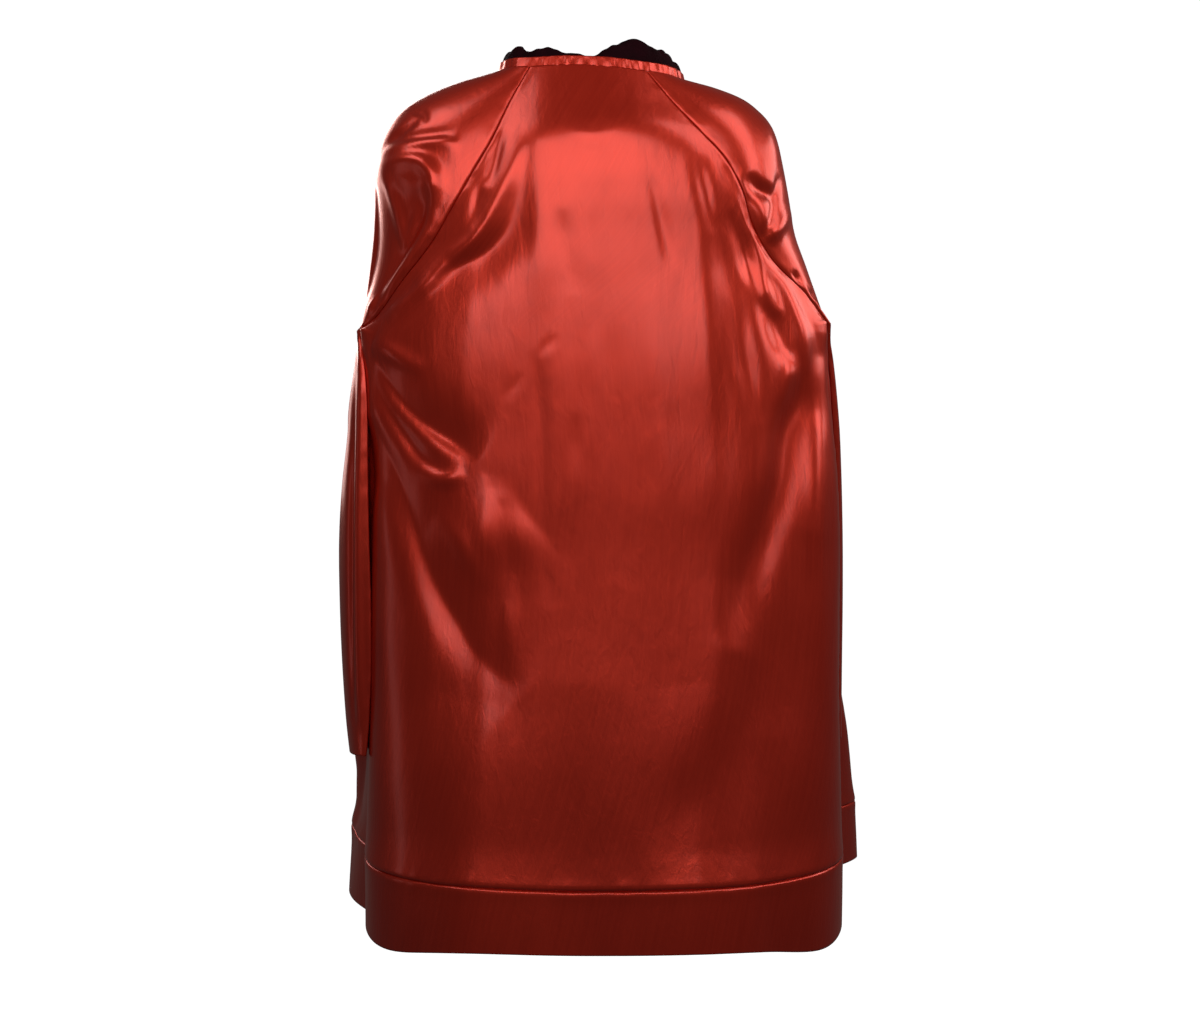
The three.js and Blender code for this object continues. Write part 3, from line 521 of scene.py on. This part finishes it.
# Folds of the back: a fan from each underarm, troughs and ridges along the raglan seams, soft upright ones
backFolds = [
    fold((11, 11), [[262, -328, 0], [248, -340, 3], [234, -348, 4], [215, -359, 3], [197, -369, 0]]),
    fold((10, 30), [[268, -338, 0], [252, -370, -6], [231, -400, -9], [209, -422, -9], [182, -442, -9],
                    [156, -458, -7], [132, -474, 0]], sharp=1.7),
    fold((10, 15), [[270, -346, 0], [261, -383, -4], [246, -413, -6], [224, -445, -7], [205, -468, -6],
                    [187, -480, -4], [168, -486, 0]], sharp=1.7),
    fold((9, 9), [[206, -480, 0], [186, -495, 3], [166, -497, 4], [148, -488, 0]]),
    fold((44, 50), [[184, -538, 0], [156, -556, 4], [124, -566, 7], [96, -560, 5], [70, -542, 0]]),
    fold((58, 34), [[268, -418, 0], [254, -456, -8], [236, -496, -12], [216, -545, -12], [198, -590, -10],
                    [180, -630, -10], [158, -664, -10], [137, -697, -8], [112, -722, -5],
                    [80, -748, 0]], sharp=1.3),
    fold((30, 22), [[262, -500, 0], [250, -540, 3], [226, -590, 4], [206, -640, 4], [184, -690, 3],
                    [160, -740, 0]]),
    fold((12, 12), [[184, -534, 0], [162, -562, 2], [141, -594, 2], [124, -630, 0]]),
    fold((13, 13), [[104, -520, 0], [97, -580, -3], [93, -630, 0], [93, -672, 2], [86, -730, 0]]),
    fold((8, 8), [[104, -78, 0], [110, -105, -3], [116, -130, -3], [121, -152, 0]]),
    fold((7, 7), [[126, -134, 0], [134, -166, -2], [140, -200, 0]]),
    fold((10, 8), [[77, -95, 0], [92, -130, 2], [111, -170, 3], [127, -199, 4], [140, -216, 4],
                   [160, -232, 3], [186, -252, 0]]),
    fold((13, 30), [[66, -96, 0], [76, -135, -2], [87, -172, -5], [99, -203, -7], [120, -227, -8],
                    [146, -241, -7], [170, -252, -4], [198, -266, 0]]),
    fold((10, 10), [[168, -238, 0], [186, -254, 4], [204, -272, 5], [226, -290, 4], [246, -305, 0]]),
    fold((8, 10), [[62, -345, 0], [60, -400, -1.3], [56, -496, -1.5], [52, -600, -1.1], [50, -650, 0]]),
    fold((8, 8), [[14, -420, 0], [15, -455, -0.8], [13, -495, 0]]),
    fold((10, 10), [[33, -178, 0], [30, -206, -1], [23, -250, -0.9], [19, -280, 0]]),
    fold((9, 9), [[-73, -128, 0], [-79, -162, -1.3], [-90, -213, -1.4], [-98, -254, 0]]),
    fold((5, 5), [[41, -326, 0], [50, -340, -0.6], [61, -353, 0]]),
    fold((5, 5), [[81, -371, 0], [90, -388, -0.6], [100, -405, 0]]),
    fold((6, 6), [[27, -85, 0], [-5, -90, 0.6], [-39, -83, 0]]),
    fold((6, 6), [[20, -108, 0], [-9, -113, 0.6], [-34, -106, 0]]),
    fold((17, 17), [[58, -55, 0], [61, -150, 1.2], [50, -270, 1.2], [36, -420, 1.1], [34, -560, 0]]),
    fold((15, 15), [[-26, -60, 0], [-24, -160, -1.1], [-20, -300, -1.2], [-28, -460, -1.1],
                    [-30, -620, 0]]),
    fold((16, 16), [[-74, -260, 0], [-82, -380, 1.3], [-88, -520, 1.3], [-84, -660, 0]]),
    fold((14, 14), [[-120, -90, 0], [-131, -200, 1.2], [-139, -330, 1.3], [-140, -470, 0]]),
    fold((8, 10), [[-170, -150, 0], [-185, -188, 3], [-196, -212, 4], [-203, -240, 4], [-211, -272, 4],
                   [-222, -291, 3], [-236, -292, 0]]),
    fold((11, 8), [[-168, -176, 0], [-183, -212, -3], [-191, -238, -4], [-198, -272, 0]]),
    fold((8, 9), [[-200, -218, 0], [-220, -245, 3], [-237, -267, 4], [-251, -301, 4], [-260, -330, 4],
                  [-269, -368, 3], [-276, -412, 0]]),
    fold((15, 15), [[-210, -276, 0], [-226, -313, -6], [-236, -338, -5], [-247, -368, 0]]),
    fold((8, 8), [[-232, -340, 0], [-239, -365, 2], [-236, -386, 2], [-230, -415, 0]]),
    fold((20, 30), [[-284, -318, 0], [-276, -350, -5], [-268, -380, -10], [-258, -406, -14],
                    [-243, -440, -15], [-233, -498, -13], [-215, -547, -11], [-196, -595, -9],
                    [-182, -642, -6], [-166, -695, 0]]),
    fold((13, 13), [[-286, -345, 0], [-285, -372, 3], [-282, -402, 3], [-279, -442, 3], [-276, -500, 4],
                    [-274, -570, 4], [-276, -650, 3], [-282, -780, 0]]),
    fold((15, 14), [[-146, -184, 0], [-160, -226, -1], [-176, -280, -2], [-184, -346, -3.5],
                    [-190, -377, -3], [-199, -430, 0]]),
    fold((10, 8), [[-126, -112, 0], [-138, -158, -2.4], [-146, -204, 0]]),
    fold((44, 58), [[-262, -560, 0], [-236, -640, -4], [-214, -705, -8], [-194, -775, -9], [-162, -832, -9],
                    [-130, -868, -7], [-96, -896, -3], [-64, -914, 0]]),
    fold((34, 34), [[-178, -620, 0], [-160, -720, 4], [-150, -830, 4], [-150, -920, 0]]),
    fold((46, 46), [[120, -760, 0], [135, -900, 5], [140, -1040, 8]]),
    fold((40, 40), [[20, -740, 0], [14, -900, -5], [10, -1040, -7]]),
    fold((46, 46), [[-110, -740, 0], [-122, -900, 5], [-128, -1040, 8]]),
    fold((36, 36), [[-215, -800, 0], [-222, -920, -5], [-226, -1040, -8]]),
]
# Long upright folds of the fronts, with a fan from each underarm
frontFolds = [
    fold((36, 36), [[150, -180, 0], [140, -420, -5], [150, -700, -9], [165, -1040, -12]]),
    fold((34, 34), [[-140, -180, 0], [-150, -420, -5], [-170, -700, -9], [-190, -1040, -12]]),
    fold((30, 30), [[70, -300, 0], [72, -600, 5], [74, -1040, 9]]),
    fold((30, 30), [[-70, -320, 0], [-88, -620, 5], [-104, -1040, 9]]),
    fold((18, 18), [[250, -335, 0], [222, -372, -6], [190, -398, -8], [150, -418, -6], [112, -430, 0]]),
    fold((10, 10), [[258, -340, 0], [236, -384, 5], [212, -418, 6], [182, -440, 4], [160, -450, 0]]),
    fold((20, 20), [[256, -372, 0], [238, -440, -7], [212, -506, -9], [184, -570, -7], [160, -640, 0]]),
    fold((17, 17), [[-262, -330, 0], [-232, -366, -6], [-200, -388, -7], [-160, -402, -5],
                    [-126, -408, 0]]),
    fold((19, 19), [[-274, -350, 0], [-258, -420, -7], [-236, -486, -9], [-212, -556, -6],
                    [-190, -630, 0]]),
    fold((11, 11), [[-270, -338, 0], [-248, -376, 4], [-222, -412, 5], [-196, -436, 0]]),
    fold((12, 12), [[112, -92, 0], [120, -140, -4], [138, -186, -4], [160, -222, 0]]),
    fold((12, 12), [[-114, -88, 0], [-124, -132, -4], [-140, -172, -5], [-158, -206, 0]]),
    fold((15, 15), [[36, -60, 0], [38, -180, 2], [34, -330, 2], [36, -470, 0]]),
    fold((15, 15), [[-40, -64, 0], [-44, -190, 2], [-40, -340, 2], [-48, -480, 0]]),
]
# The left front's bulge near the hem, ahead of the side seam
sideFolds = [
    fold((46, 46), [[276, -740, 0], [282, -830, 34], [290, -880, 24], [300, -950, 8], [306, -1030, 0]]),
]
# Folds over the back of the sleeve caps
sleeveFolds = {
    "Left": [
        fold((4, 4), [[218, -36, 0], [212, -48, -2.5], [204, -61, 0]]),
        fold((4, 4), [[209, -42, 0], [201, -55, -2.5], [196, -69, 0]]),
        fold((5, 5), [[205, -60, 0], [218, -68, -2.5], [236, -78, -2.5], [254, -88, 0]]),
        fold((7, 7), [[246, -82, 0], [220, -85, -3.5], [190, -84, -3.5], [157, -79, 0]]),
        fold((8, 8), [[259, -103, 0], [240, -97, 3.5], [204, -91, 4], [170, -95, 3], [154, -101, 0]]),
        fold((12, 9), [[262, -112, 0], [244, -113, 5], [220, -112, 7], [200, -118, 8], [187, -135, 8],
                       [188, -158, 6], [197, -187, 0]]),
        fold((60, 9), [[190, -146, 0], [198, -168, -9], [216, -201, -14], [236, -232, -12], [254, -260, -6],
                       [266, -286, 0]], sharp=1.3),
        fold((7, 7), [[255, -118, 0], [247, -140, 3], [240, -169, 4], [233, -205, 3], [228, -227, 0]]),
        fold((7, 7), [[205, -168, 0], [214, -182, 3], [222, -202, 4], [231, -223, 0]]),
        fold((7, 7), [[184, -174, 0], [196, -200, 3], [214, -226, 4], [236, -254, 3], [252, -278, 0]]),
        fold((4, 4), [[262, -268, 0], [268, -284, 2.4], [270, -300, 0]]),
        fold((4, 4), [[251, -279, 0], [258, -292, 2.4], [265, -305, 0]]),
    ],
    "Right": [
        fold((12, 12), [[-214, -38, 0], [-222, -90, 4], [-224, -130, 0]]),
        fold((9, 9), [[-191, -131, 0], [-201, -145, -6], [-216, -152, -7], [-229, -158, 0]]),
        fold((10, 10), [[-200, -160, 0], [-206, -177, 4], [-213, -196, 4], [-221, -213, 0]]),
        fold((5, 5), [[-233, -124, 0], [-229, -141, -3.5], [-222, -175, -4], [-212, -198, -3],
                      [-206, -211, 0]]),
        fold((8, 8), [[-245, -158, 0], [-238, -177, 4], [-226, -195, 5], [-214, -210, 0]]),
        fold((5, 5), [[-250, -242, 0], [-253, -252, -4], [-257, -262, 0]]),
        fold((4, 4), [[-272, -261, 0], [-276, -269, -3], [-281, -277, 0]]),
    ],
}
# Folds over the front of the sleeve caps
capFolds = {
    "Left": [
        fold((12, 12), [[250, -80, 0], [232, -112, -6], [212, -150, -8], [204, -190, -5], [210, -226, 0]]),
        fold((10, 10), [[262, -120, 0], [248, -160, 5], [236, -200, 6], [240, -240, 0]]),
    ],
    "Right": [
        fold((12, 12), [[-226, -76, 0], [-212, -110, -5], [-200, -150, -7], [-204, -190, 0]]),
        fold((10, 10), [[-240, -118, 0], [-232, -158, 4], [-230, -200, 5], [-242, -236, 0]]),
    ],
}
# Folds on the outer side of each sleeve, in rows of [y, z, height]
hangFolds = {
    "Left": [
        fold((14, 14), [[-14, -80, 0], [-36, -140, -4], [-64, -200, -6], [-92, -262, -5], [-112, -318, 0]]),
        fold((12, 12), [[-50, -96, 0], [-78, -160, 4], [-104, -226, 5], [-120, -292, 0]]),
        fold((12, 16), [[10, -322, 0], [-20, -366, -6], [-58, -404, -7], [-96, -432, -5], [-124, -446, 0]]),
        fold((12, 12), [[-132, -320, 0], [-114, -378, 5], [-92, -440, 6], [-76, -520, 5], [-66, -610, 0]]),
        fold((15, 13), [[0, -420, 0], [-14, -500, -6], [-24, -600, -7], [-24, -700, -5], [-20, -800, 0]]),
        fold((10, 12), [[-104, -500, 0], [-94, -590, -4], [-80, -690, -5], [-66, -780, -4],
                        [-58, -840, 0]]),
    ],
    "Right": [
        fold((14, 14), [[-16, -84, 0], [-44, -136, -4], [-70, -196, -6], [-100, -256, -5],
                        [-122, -306, 0]]),
        fold((11, 12), [[-60, -110, 0], [-90, -168, 4], [-118, -232, 4], [-132, -290, 0]]),
        fold((12, 15), [[-24, -322, 0], [-50, -372, -5], [-88, -412, -7], [-124, -436, -5],
                        [-148, -446, 0]]),
        fold((12, 12), [[-146, -330, 0], [-128, -396, 5], [-110, -466, 6], [-98, -548, 4], [-94, -630, 0]]),
        fold((13, 13), [[-38, -440, 0], [-50, -530, -5], [-56, -630, -6], [-52, -730, -4], [-48, -800, 0]]),
        fold((10, 10), [[-120, -540, 0], [-108, -640, -4], [-96, -740, -5], [-90, -830, 0]]),
    ],
}
# Folds down the narrow back of the hanging left sleeve
stripFolds = {
    "Left": [
        fold((4, 4), [[291, -330, 0], [291, -400, -3], [292, -560, -4], [290, -720, -3], [284, -800, 0]]),
        fold((6, 6), [[281, -330, 0], [281, -420, 3.5], [282, -600, 4], [279, -740, 4], [276, -806, 0]]),
    ],
    "Right": [],
}


# 0 on the panel's outer columns and 1 from the margin in, so that folds leave the seams in place
def insideSeams(points, margin):
    run = lengthAlong(points, 1)
    return smooth(np.minimum(run, run[:, -1:] - run), 0, margin)


seamLook = {
    "margin": 12, "sleeveMargin": 7, "back": 0.8, "front": 0.6, "sleeve": 0.6, "groove": 3, "pucker": 0.5,
    "puckerCells": (9, 200, 5), "apart": 500, "band": 0.9, "bandGroove": 4, "bandCells": (11, 200, 6),
}


# How the cloth rises beside a sewn line: d/w exp(1 - d/w), so that the seam lies in a groove
def groove(away, width):
    return away / width * np.exp(1 - away / width)


# The seams at both ends of the rows, in a groove puckered by short uneven waves that differ between them
def seamRise(points, high):
    run = lengthAlong(points, 1)
    away = np.minimum(run, run[:, -1:] - run)
    seam = np.where(run < run[:, -1:] / 2, 0, seamLook["apart"])
    pucker = unevenness(lengthAlong(points, 0), seam, *seamLook["puckerCells"])
    return (high + seamLook["pucker"] * pucker) * groove(away, seamLook["groove"])


# The seam of the hem band: the same groove across the panel, with coarser puckers
def bandSeam(points):
    down = lengthAlong(points, 0)
    away = np.abs(down - down[bandRow])
    pucker = unevenness(lengthAlong(points, 1), 0 * down, *seamLook["bandCells"])
    rise = (seamLook["band"] + seamLook["pucker"] * pucker) * groove(away, seamLook["bandGroove"])
    return rise * insideSeams(points, seamLook["margin"])


easing = {
    "back": {"reach": 4 * finer, "spans": 28},
    "front": {"reach": 4 * finer, "spans": 13},
    "sleeve": {"reach": 5 * finer, "spans": 14},
}
# Uneven waves of the cloth: their height, the size of a cell along both axes, and their seed
waves = {
    "backUpright": (0.5, 22, 420, 7), "backShort": (0.15, 13, 46, 8),
    "frontUpright": (0.6, 24, 400, 17), "frontShort": (0.2, 14, 50, 18),
    "sleeve": (0.8, 26, 210, 27),
}
# Where each kind of fold fades in: millimetres, rows above the underarm, or share of the outward normal
fades = {
    "belowNeck": (30, 120), "sideAhead": (39, 89), "capRows": (0, 8), "capBack": (0, 14),
    "capFront": (12, 30), "hangAhead": (-8, 14), "outward": (0.2, 0.6),
}


def wave(name, x, z):
    high, *cells = waves[name]
    return high * unevenness(x, z, *cells)


# The back and its hem band are one surface
backShare = np.linspace(0, 1, columnCount["back"] + 1)
backPoints = easeRows(backSurface(panelPlaces, backShare), backShare, **easing["back"])
x, z = backPoints[..., 0], backPoints[..., 2]
backHeight = foldHeight(x, z, backFolds) + wave("backShort", x, z)
backHeight += wave("backUpright", x, z) * smooth(-z, *fades["belowNeck"])
backHeight *= insideSeams(backPoints, seamLook["margin"])
backHeight += seamRise(backPoints, seamLook["back"]) + bandSeam(backPoints)
backPoints = backPoints + normalsOf(backPoints) * backHeight[..., None]
print("back shaped")

frontShare = np.linspace(0, 1, columnCount["front"] + 1)
frontPoints = {}
for side in ("Left", "Right"):
    points = easeRows(frontSurface(side, panelPlaces, frontShare), frontShare, **easing["front"])
    x, y, z = points[..., 0], points[..., 1], points[..., 2]
    height = foldHeight(x, z, frontFolds) + foldHeight(x, z, sideFolds) * smooth(-y, *fades["sideAhead"])
    height += wave("frontUpright", x, z) + wave("frontShort", x, z)
    height *= insideSeams(points, seamLook["margin"])
    height += seamRise(points, seamLook["front"]) + bandSeam(points)
    frontPoints[side] = points + normalsOf(points) * height[..., None]
print("fronts shaped")

sleeveShare = np.linspace(0, 1, columnCount["sleeve"] + 1)
sleevePoints = {}
for side, sign in (("Left", 1), ("Right", -1)):
    points = easeRows(sleeveSurface(side, sleevePlaces, sleeveShare), sleeveShare, **easing["sleeve"])
    x, y, z = points[..., 0], points[..., 1], points[..., 2]
    upper = smooth(underarmRow - np.arange(len(points)), *fades["capRows"])[:, None]
    rear = sign * (sleeveShare - 0.5) > 0
    height = foldHeight(x, z, sleeveFolds[side]) * upper * smooth(y, *fades["capBack"])
    height += foldHeight(x, z, capFolds[side]) * upper * smooth(-y, *fades["capFront"])
    height += foldHeight(x, z, stripFolds[side]) * rear
    outside = smooth(sign * normalsOf(points)[..., 0], *fades["outward"]) * smooth(-y, *fades["hangAhead"])
    height += (foldHeight(y, z, hangFolds[side]) + wave("sleeve", y, z)) * outside
    height = height * insideSeams(points, seamLook["sleeveMargin"]) + seamRise(points, seamLook["sleeve"])
    sleevePoints[side] = points + normalsOf(points) * height[..., None]
print("sleeves shaped")


def satinPiece(name, points):
    clothMesh(name, points, cloth["satinThickness"], satinFinish)


overarm = columnCount["sleeve"] // 2
satinPiece("coat_back", backPoints[:bandRow + 1])
satinPiece("coat_hem_band_back", backPoints[bandRow:])
for side in ("Left", "Right"):
    low = side.lower()
    satinPiece(f"coat_front_{low}", frontPoints[side][:bandRow + 1])
    satinPiece(f"coat_hem_band_front_{low}", frontPoints[side][bandRow:])
    first, second = ("front", "back") if side == "Left" else ("back", "front")
    satinPiece(f"coat_sleeve_{low}_{first}", sleevePoints[side][:, :overarm + 1])
    satinPiece(f"coat_sleeve_{low}_{second}", sleevePoints[side][:, overarm:])

# The neckline, from the left front edge round the back to the right front edge, evenly spaced
neckRun = np.concatenate([frontPoints["Left"][0, :-1], sleevePoints["Left"][0, :-1], backPoints[0, :-1],
                          sleevePoints["Right"][0, :-1], frontPoints["Right"][0]])
for _ in range(cloth["neckTurns"]):
    neckRun[1:-1] = 0.5 * neckRun[1:-1] + 0.25 * (neckRun[:-2] + neckRun[2:])


# A strip along the neckline: profile gives how far out and up each point of the grid lies
def neckStrip(name, rows, columns, profile, thickness, material):
    share = np.linspace(0, 1, columns + 1)
    length = np.concatenate([[0], np.cumsum(np.linalg.norm(np.diff(neckRun, axis=0), axis=1))])
    line = np.stack([np.interp(share * length[-1], length, neckRun[:, k]) for k in range(3)], -1)
    along = np.gradient(line, axis=0)
    away = np.stack([along[:, 1], -along[:, 0]], -1)
    away /= np.linalg.norm(away, axis=1, keepdims=True)
    out, up = profile(np.linspace(0, 1, rows + 1)[:, None], share[None, :])
    points = np.repeat(line[None], rows + 1, 0)
    points[..., :2] += out[..., None] * away[None]
    points[..., 2] += up
    clothMesh(name, points, thickness, material)


neckBand = {
    "length": 690, "height": 11, "tuck": 1.8, "lean": 0.16, "gathers": 40, "depth": 0.585,
    "topPhase": 0.25, "shifts": [(2.5, 11), (1.6, 29)], "swell": 0.9, "swellCells": (38, 9, 12),
    "fine": 0.5, "fineCells": (4, 15, 11), "rows": 10, "columns": 760,
}


# The neck band: leans in towards the neck, with small uneven gathers, deepest a third of the way down and
# flat at the lower edge
def neckBandProfile(down, share):
    height = neckBand["height"] - (neckBand["height"] + neckBand["tuck"]) * down
    along = neckBand["length"] * share
    shift = sum(far * np.sin(turns * share) for far, turns in neckBand["shifts"])
    swell = 1 + neckBand["swell"] * unevenness(along, 0 * share, *neckBand["swellCells"])
    gather = swell * np.sin(2 * np.pi * neckBand["gathers"] * share + shift)
    gather = gather * np.sin(np.pi * (neckBand["topPhase"] + (1 - neckBand["topPhase"]) * down))
    fine = unevenness(along, height, *neckBand["fineCells"])
    out = neckBand["depth"] * gather + neckBand["fine"] * fine - neckBand["lean"] * height
    return out, height + 0 * share


collar = {
    "puffs": 17, "puffDepth": 4.5, "puffShift": 2, "puffTurns": 5, "puffOut": 0.5, "puffUp": 0.35,
    "base": 8, "inset": 3.9, "lean": 0.3, "halfWidth": 4, "widening": 0.16, "roundness": 0.3,
    "ruffle": 1.6, "girth": 14, "ruffleCells": (7, 13, 3), "rows": 44, "columns": 620,
    "share": [0, 0.08, 0.16, 0.24, 0.3, 0.35, 0.39, 0.43, 0.46, 0.51, 0.54, 0.58, 0.61, 0.65, 0.7, 0.78,
              0.9, 1],
    "height": [22, 30, 26, 31, 26, 26, 21, 25, 15, 15, 26, 42, 37, 34, 27, 30, 29, 22],
}


# The collar: an arch from inside the neck band over a rounded top and down again, puffed unevenly
def collarProfile(over, share):
    within = np.interp(share, collar["share"], np.arange(len(collar["share"])))
    rise = through(collar["height"], within) - collar["base"]
    angle = np.pi * over
    shift = collar["puffShift"] * np.sin(collar["puffTurns"] * share)
    puff = np.sin(2 * np.pi * collar["puffs"] * share + shift)
    full = collar["puffDepth"] * puff * np.sin(angle) ** 2
    halfWidth = collar["halfWidth"] + collar["widening"] * rise
    uneven = unevenness(neckBand["length"] * share, collar["girth"] * angle, *collar["ruffleCells"])
    ruffle = collar["ruffle"] * uneven * np.sin(angle)
    bulge = halfWidth * (1 + collar["roundness"] * np.sin(angle)) + collar["puffOut"] * full + ruffle
    out = -collar["inset"] - halfWidth - collar["lean"] * rise * np.sin(angle) - bulge * np.cos(angle)
    return out, collar["base"] + (rise + collar["puffUp"] * full + ruffle) * np.sin(angle)


neckStrip("coat_neck_band", neckBand["rows"], neckBand["columns"], neckBandProfile,
          cloth["satinThickness"], satinFinish)
neckStrip("coat_collar", collar["rows"], collar["columns"], collarProfile,
          cloth["velvetThickness"], velvetFinish)
print("pieces made:", len(pieces))

# Each piece's flat cut: its width and length in metres, and its area where it isn't a rectangle
flatCuts = {
    "back": ((0.80, 1.02), 0.57), "hem_band_back": ((0.80, 0.085), 0.065),
    "front_left": ((0.45, 0.98), 0.31), "front_right": ((0.60, 0.98), 0.36),
    "hem_band_front_left": ((0.50, 0.09), 0.042), "hem_band_front_right": ((0.62, 0.09), 0.05),
    "sleeve_left_back": ((0.25, 0.86), 0.11), "sleeve_left_front": ((0.30, 0.86), 0.19),
    "sleeve_right_back": ((0.25, 0.86), 0.085), "sleeve_right_front": ((0.30, 0.86), 0.165),
    "neck_band": ((0.75, 0.012), None), "collar": ((0.75, 0.045), None),
}
for node, (flat, area) in flatCuts.items():
    piece = pieces["coat_" + node]
    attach(piece, "root")
    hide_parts(node)

studio = {"camera": (-0.0125, 2.2, -0.53), "lens": 52.8, "film": 36, "floor": -1.62, "surroundings": 0.08}


def camera():
    data = bpy.data.cameras.new("camera")
    data.lens = studio["lens"]
    data.sensor_width = studio["film"]
    eye = bpy.data.objects.new("camera", data)
    eye.location = studio["camera"]
    eye.rotation_euler = (math.pi / 2, 0, math.pi)
    scene.collection.objects.link(eye)
    scene.camera = eye


# A rectangular lamp that the camera doesn't see
def softbox(name, place, towards, size, power):
    data = bpy.data.lights.new(name, "AREA")
    data.shape = "RECTANGLE"
    data.size, data.size_y = size
    data.energy = power
    lamp = bpy.data.objects.new(name, data)
    lamp.location = place
    aim = np.array(towards, float) - np.array(place, float)
    flatRun = math.hypot(aim[0], aim[1])
    lamp.visible_camera = False
    lamp.rotation_euler = (math.pi / 2 + math.atan2(aim[2], flatRun), 0, math.atan2(-aim[0], aim[1]))
    scene.collection.objects.link(lamp)


room = {"radius": 7, "curve": 1.5, "height": 5, "floorShare": 0.4, "curveShare": 0.3, "hole": 0.00002,
        "rings": 49, "sides": 73, "paper": (0.7, 0.7, 0.7, 1), "roughness": 0.9, "glow": 0.96}


# A round floor that curves up into a wall: a profile of a flat run, a quarter circle and an upright run,
# turned about the coat. It shows only to the camera, so that the satin mirrors nothing but the lamps
def backdrop():
    t = np.linspace(0, 1, room["rings"])[:, None]
    pastFloor = t - room["floorShare"]
    wallShare = 1 - room["floorShare"] - room["curveShare"]
    turn = np.clip(pastFloor / room["curveShare"], 0, 1) * np.pi / 2
    run = np.clip(t / room["floorShare"], room["hole"], 1)
    radius = (room["radius"] - room["curve"]) * run + room["curve"] * np.sin(turn)
    rise = np.clip((pastFloor - room["curveShare"]) / wallShare, 0, 1)
    z = studio["floor"] + room["curve"] * (1 - np.cos(turn)) + room["height"] * rise
    angle = np.linspace(0, 2 * np.pi, room["sides"])[None, :]
    points = across(radius * np.cos(angle), radius * np.sin(angle), z + 0 * angle)
    quads = gridQuads(room["rings"], room["sides"])
    mesh = bpy.data.meshes.new("floor")
    mesh.from_pydata(points.reshape(-1, 3).tolist(), [], quads.tolist())
    mesh.polygons.foreach_set("use_smooth", np.ones(len(quads), bool))
    material = bpy.data.materials.new("paper")
    material.use_nodes = True
    shader = material.node_tree.nodes["Principled BSDF"]
    shader.inputs["Base Color"].default_value = room["paper"]
    shader.inputs["Roughness"].default_value = room["roughness"]
    shader.inputs["Emission Color"].default_value = (1, 1, 1, 1)
    shader.inputs["Emission Strength"].default_value = room["glow"]
    mesh.materials.append(material)
    floor = bpy.data.objects.new("floor", mesh)
    scene.collection.objects.link(floor)
    floor.visible_glossy = False
    floor.visible_diffuse = False


lamps = {
    "key": {"place": (0.03, 1.05, 0.18), "towards": (0.03, 0, 0.18), "size": (1.15, 0.76), "power": 8.4},
    "shoulderLeft": {"place": (1.0, 0.5, 0.9), "towards": (0.2, 0, -0.1), "size": (0.7, 0.7), "power": 5},
    "sideLeft": {"place": (1.9, 0.38, -0.52), "towards": (0.28, 0.05, -0.52), "size": (0.3, 0.7),
                 "power": 0.4},
    "sideRight": {"place": (-1.6, 0.8, 0.5), "towards": (-0.2, 0, -0.1), "size": (0.8, 0.7), "power": 7},
    "rimRight": {"place": (-1.7, -0.4, 0.42), "towards": (-0.25, 0, -0.1), "size": (1.2, 0.8), "power": 10},
    "shoulderRight": {"place": (-1.0, 0.5, 0.9), "towards": (-0.2, 0, -0.1), "size": (0.7, 0.7), "power": 5},
    "front": {"place": (0.5, -1.5, 0.25), "towards": (0, 0, -0.3), "size": (1.2, 0.9), "power": 14},
    "frontSide": {"place": (1.05, -1.25, 0.1), "towards": (0.1, 0, -0.4), "size": (0.6, 1.2), "power": 3.5},
}
camera()
for name, lamp in lamps.items():
    softbox(name, **lamp)
backdrop()
world = bpy.data.worlds.new("world")
scene.world = world
world.use_nodes = True
world.node_tree.nodes["Background"].inputs["Color"].default_value = (1, 1, 1, 1)
world.node_tree.nodes["Background"].inputs["Strength"].default_value = studio["surroundings"]
print("studio made")
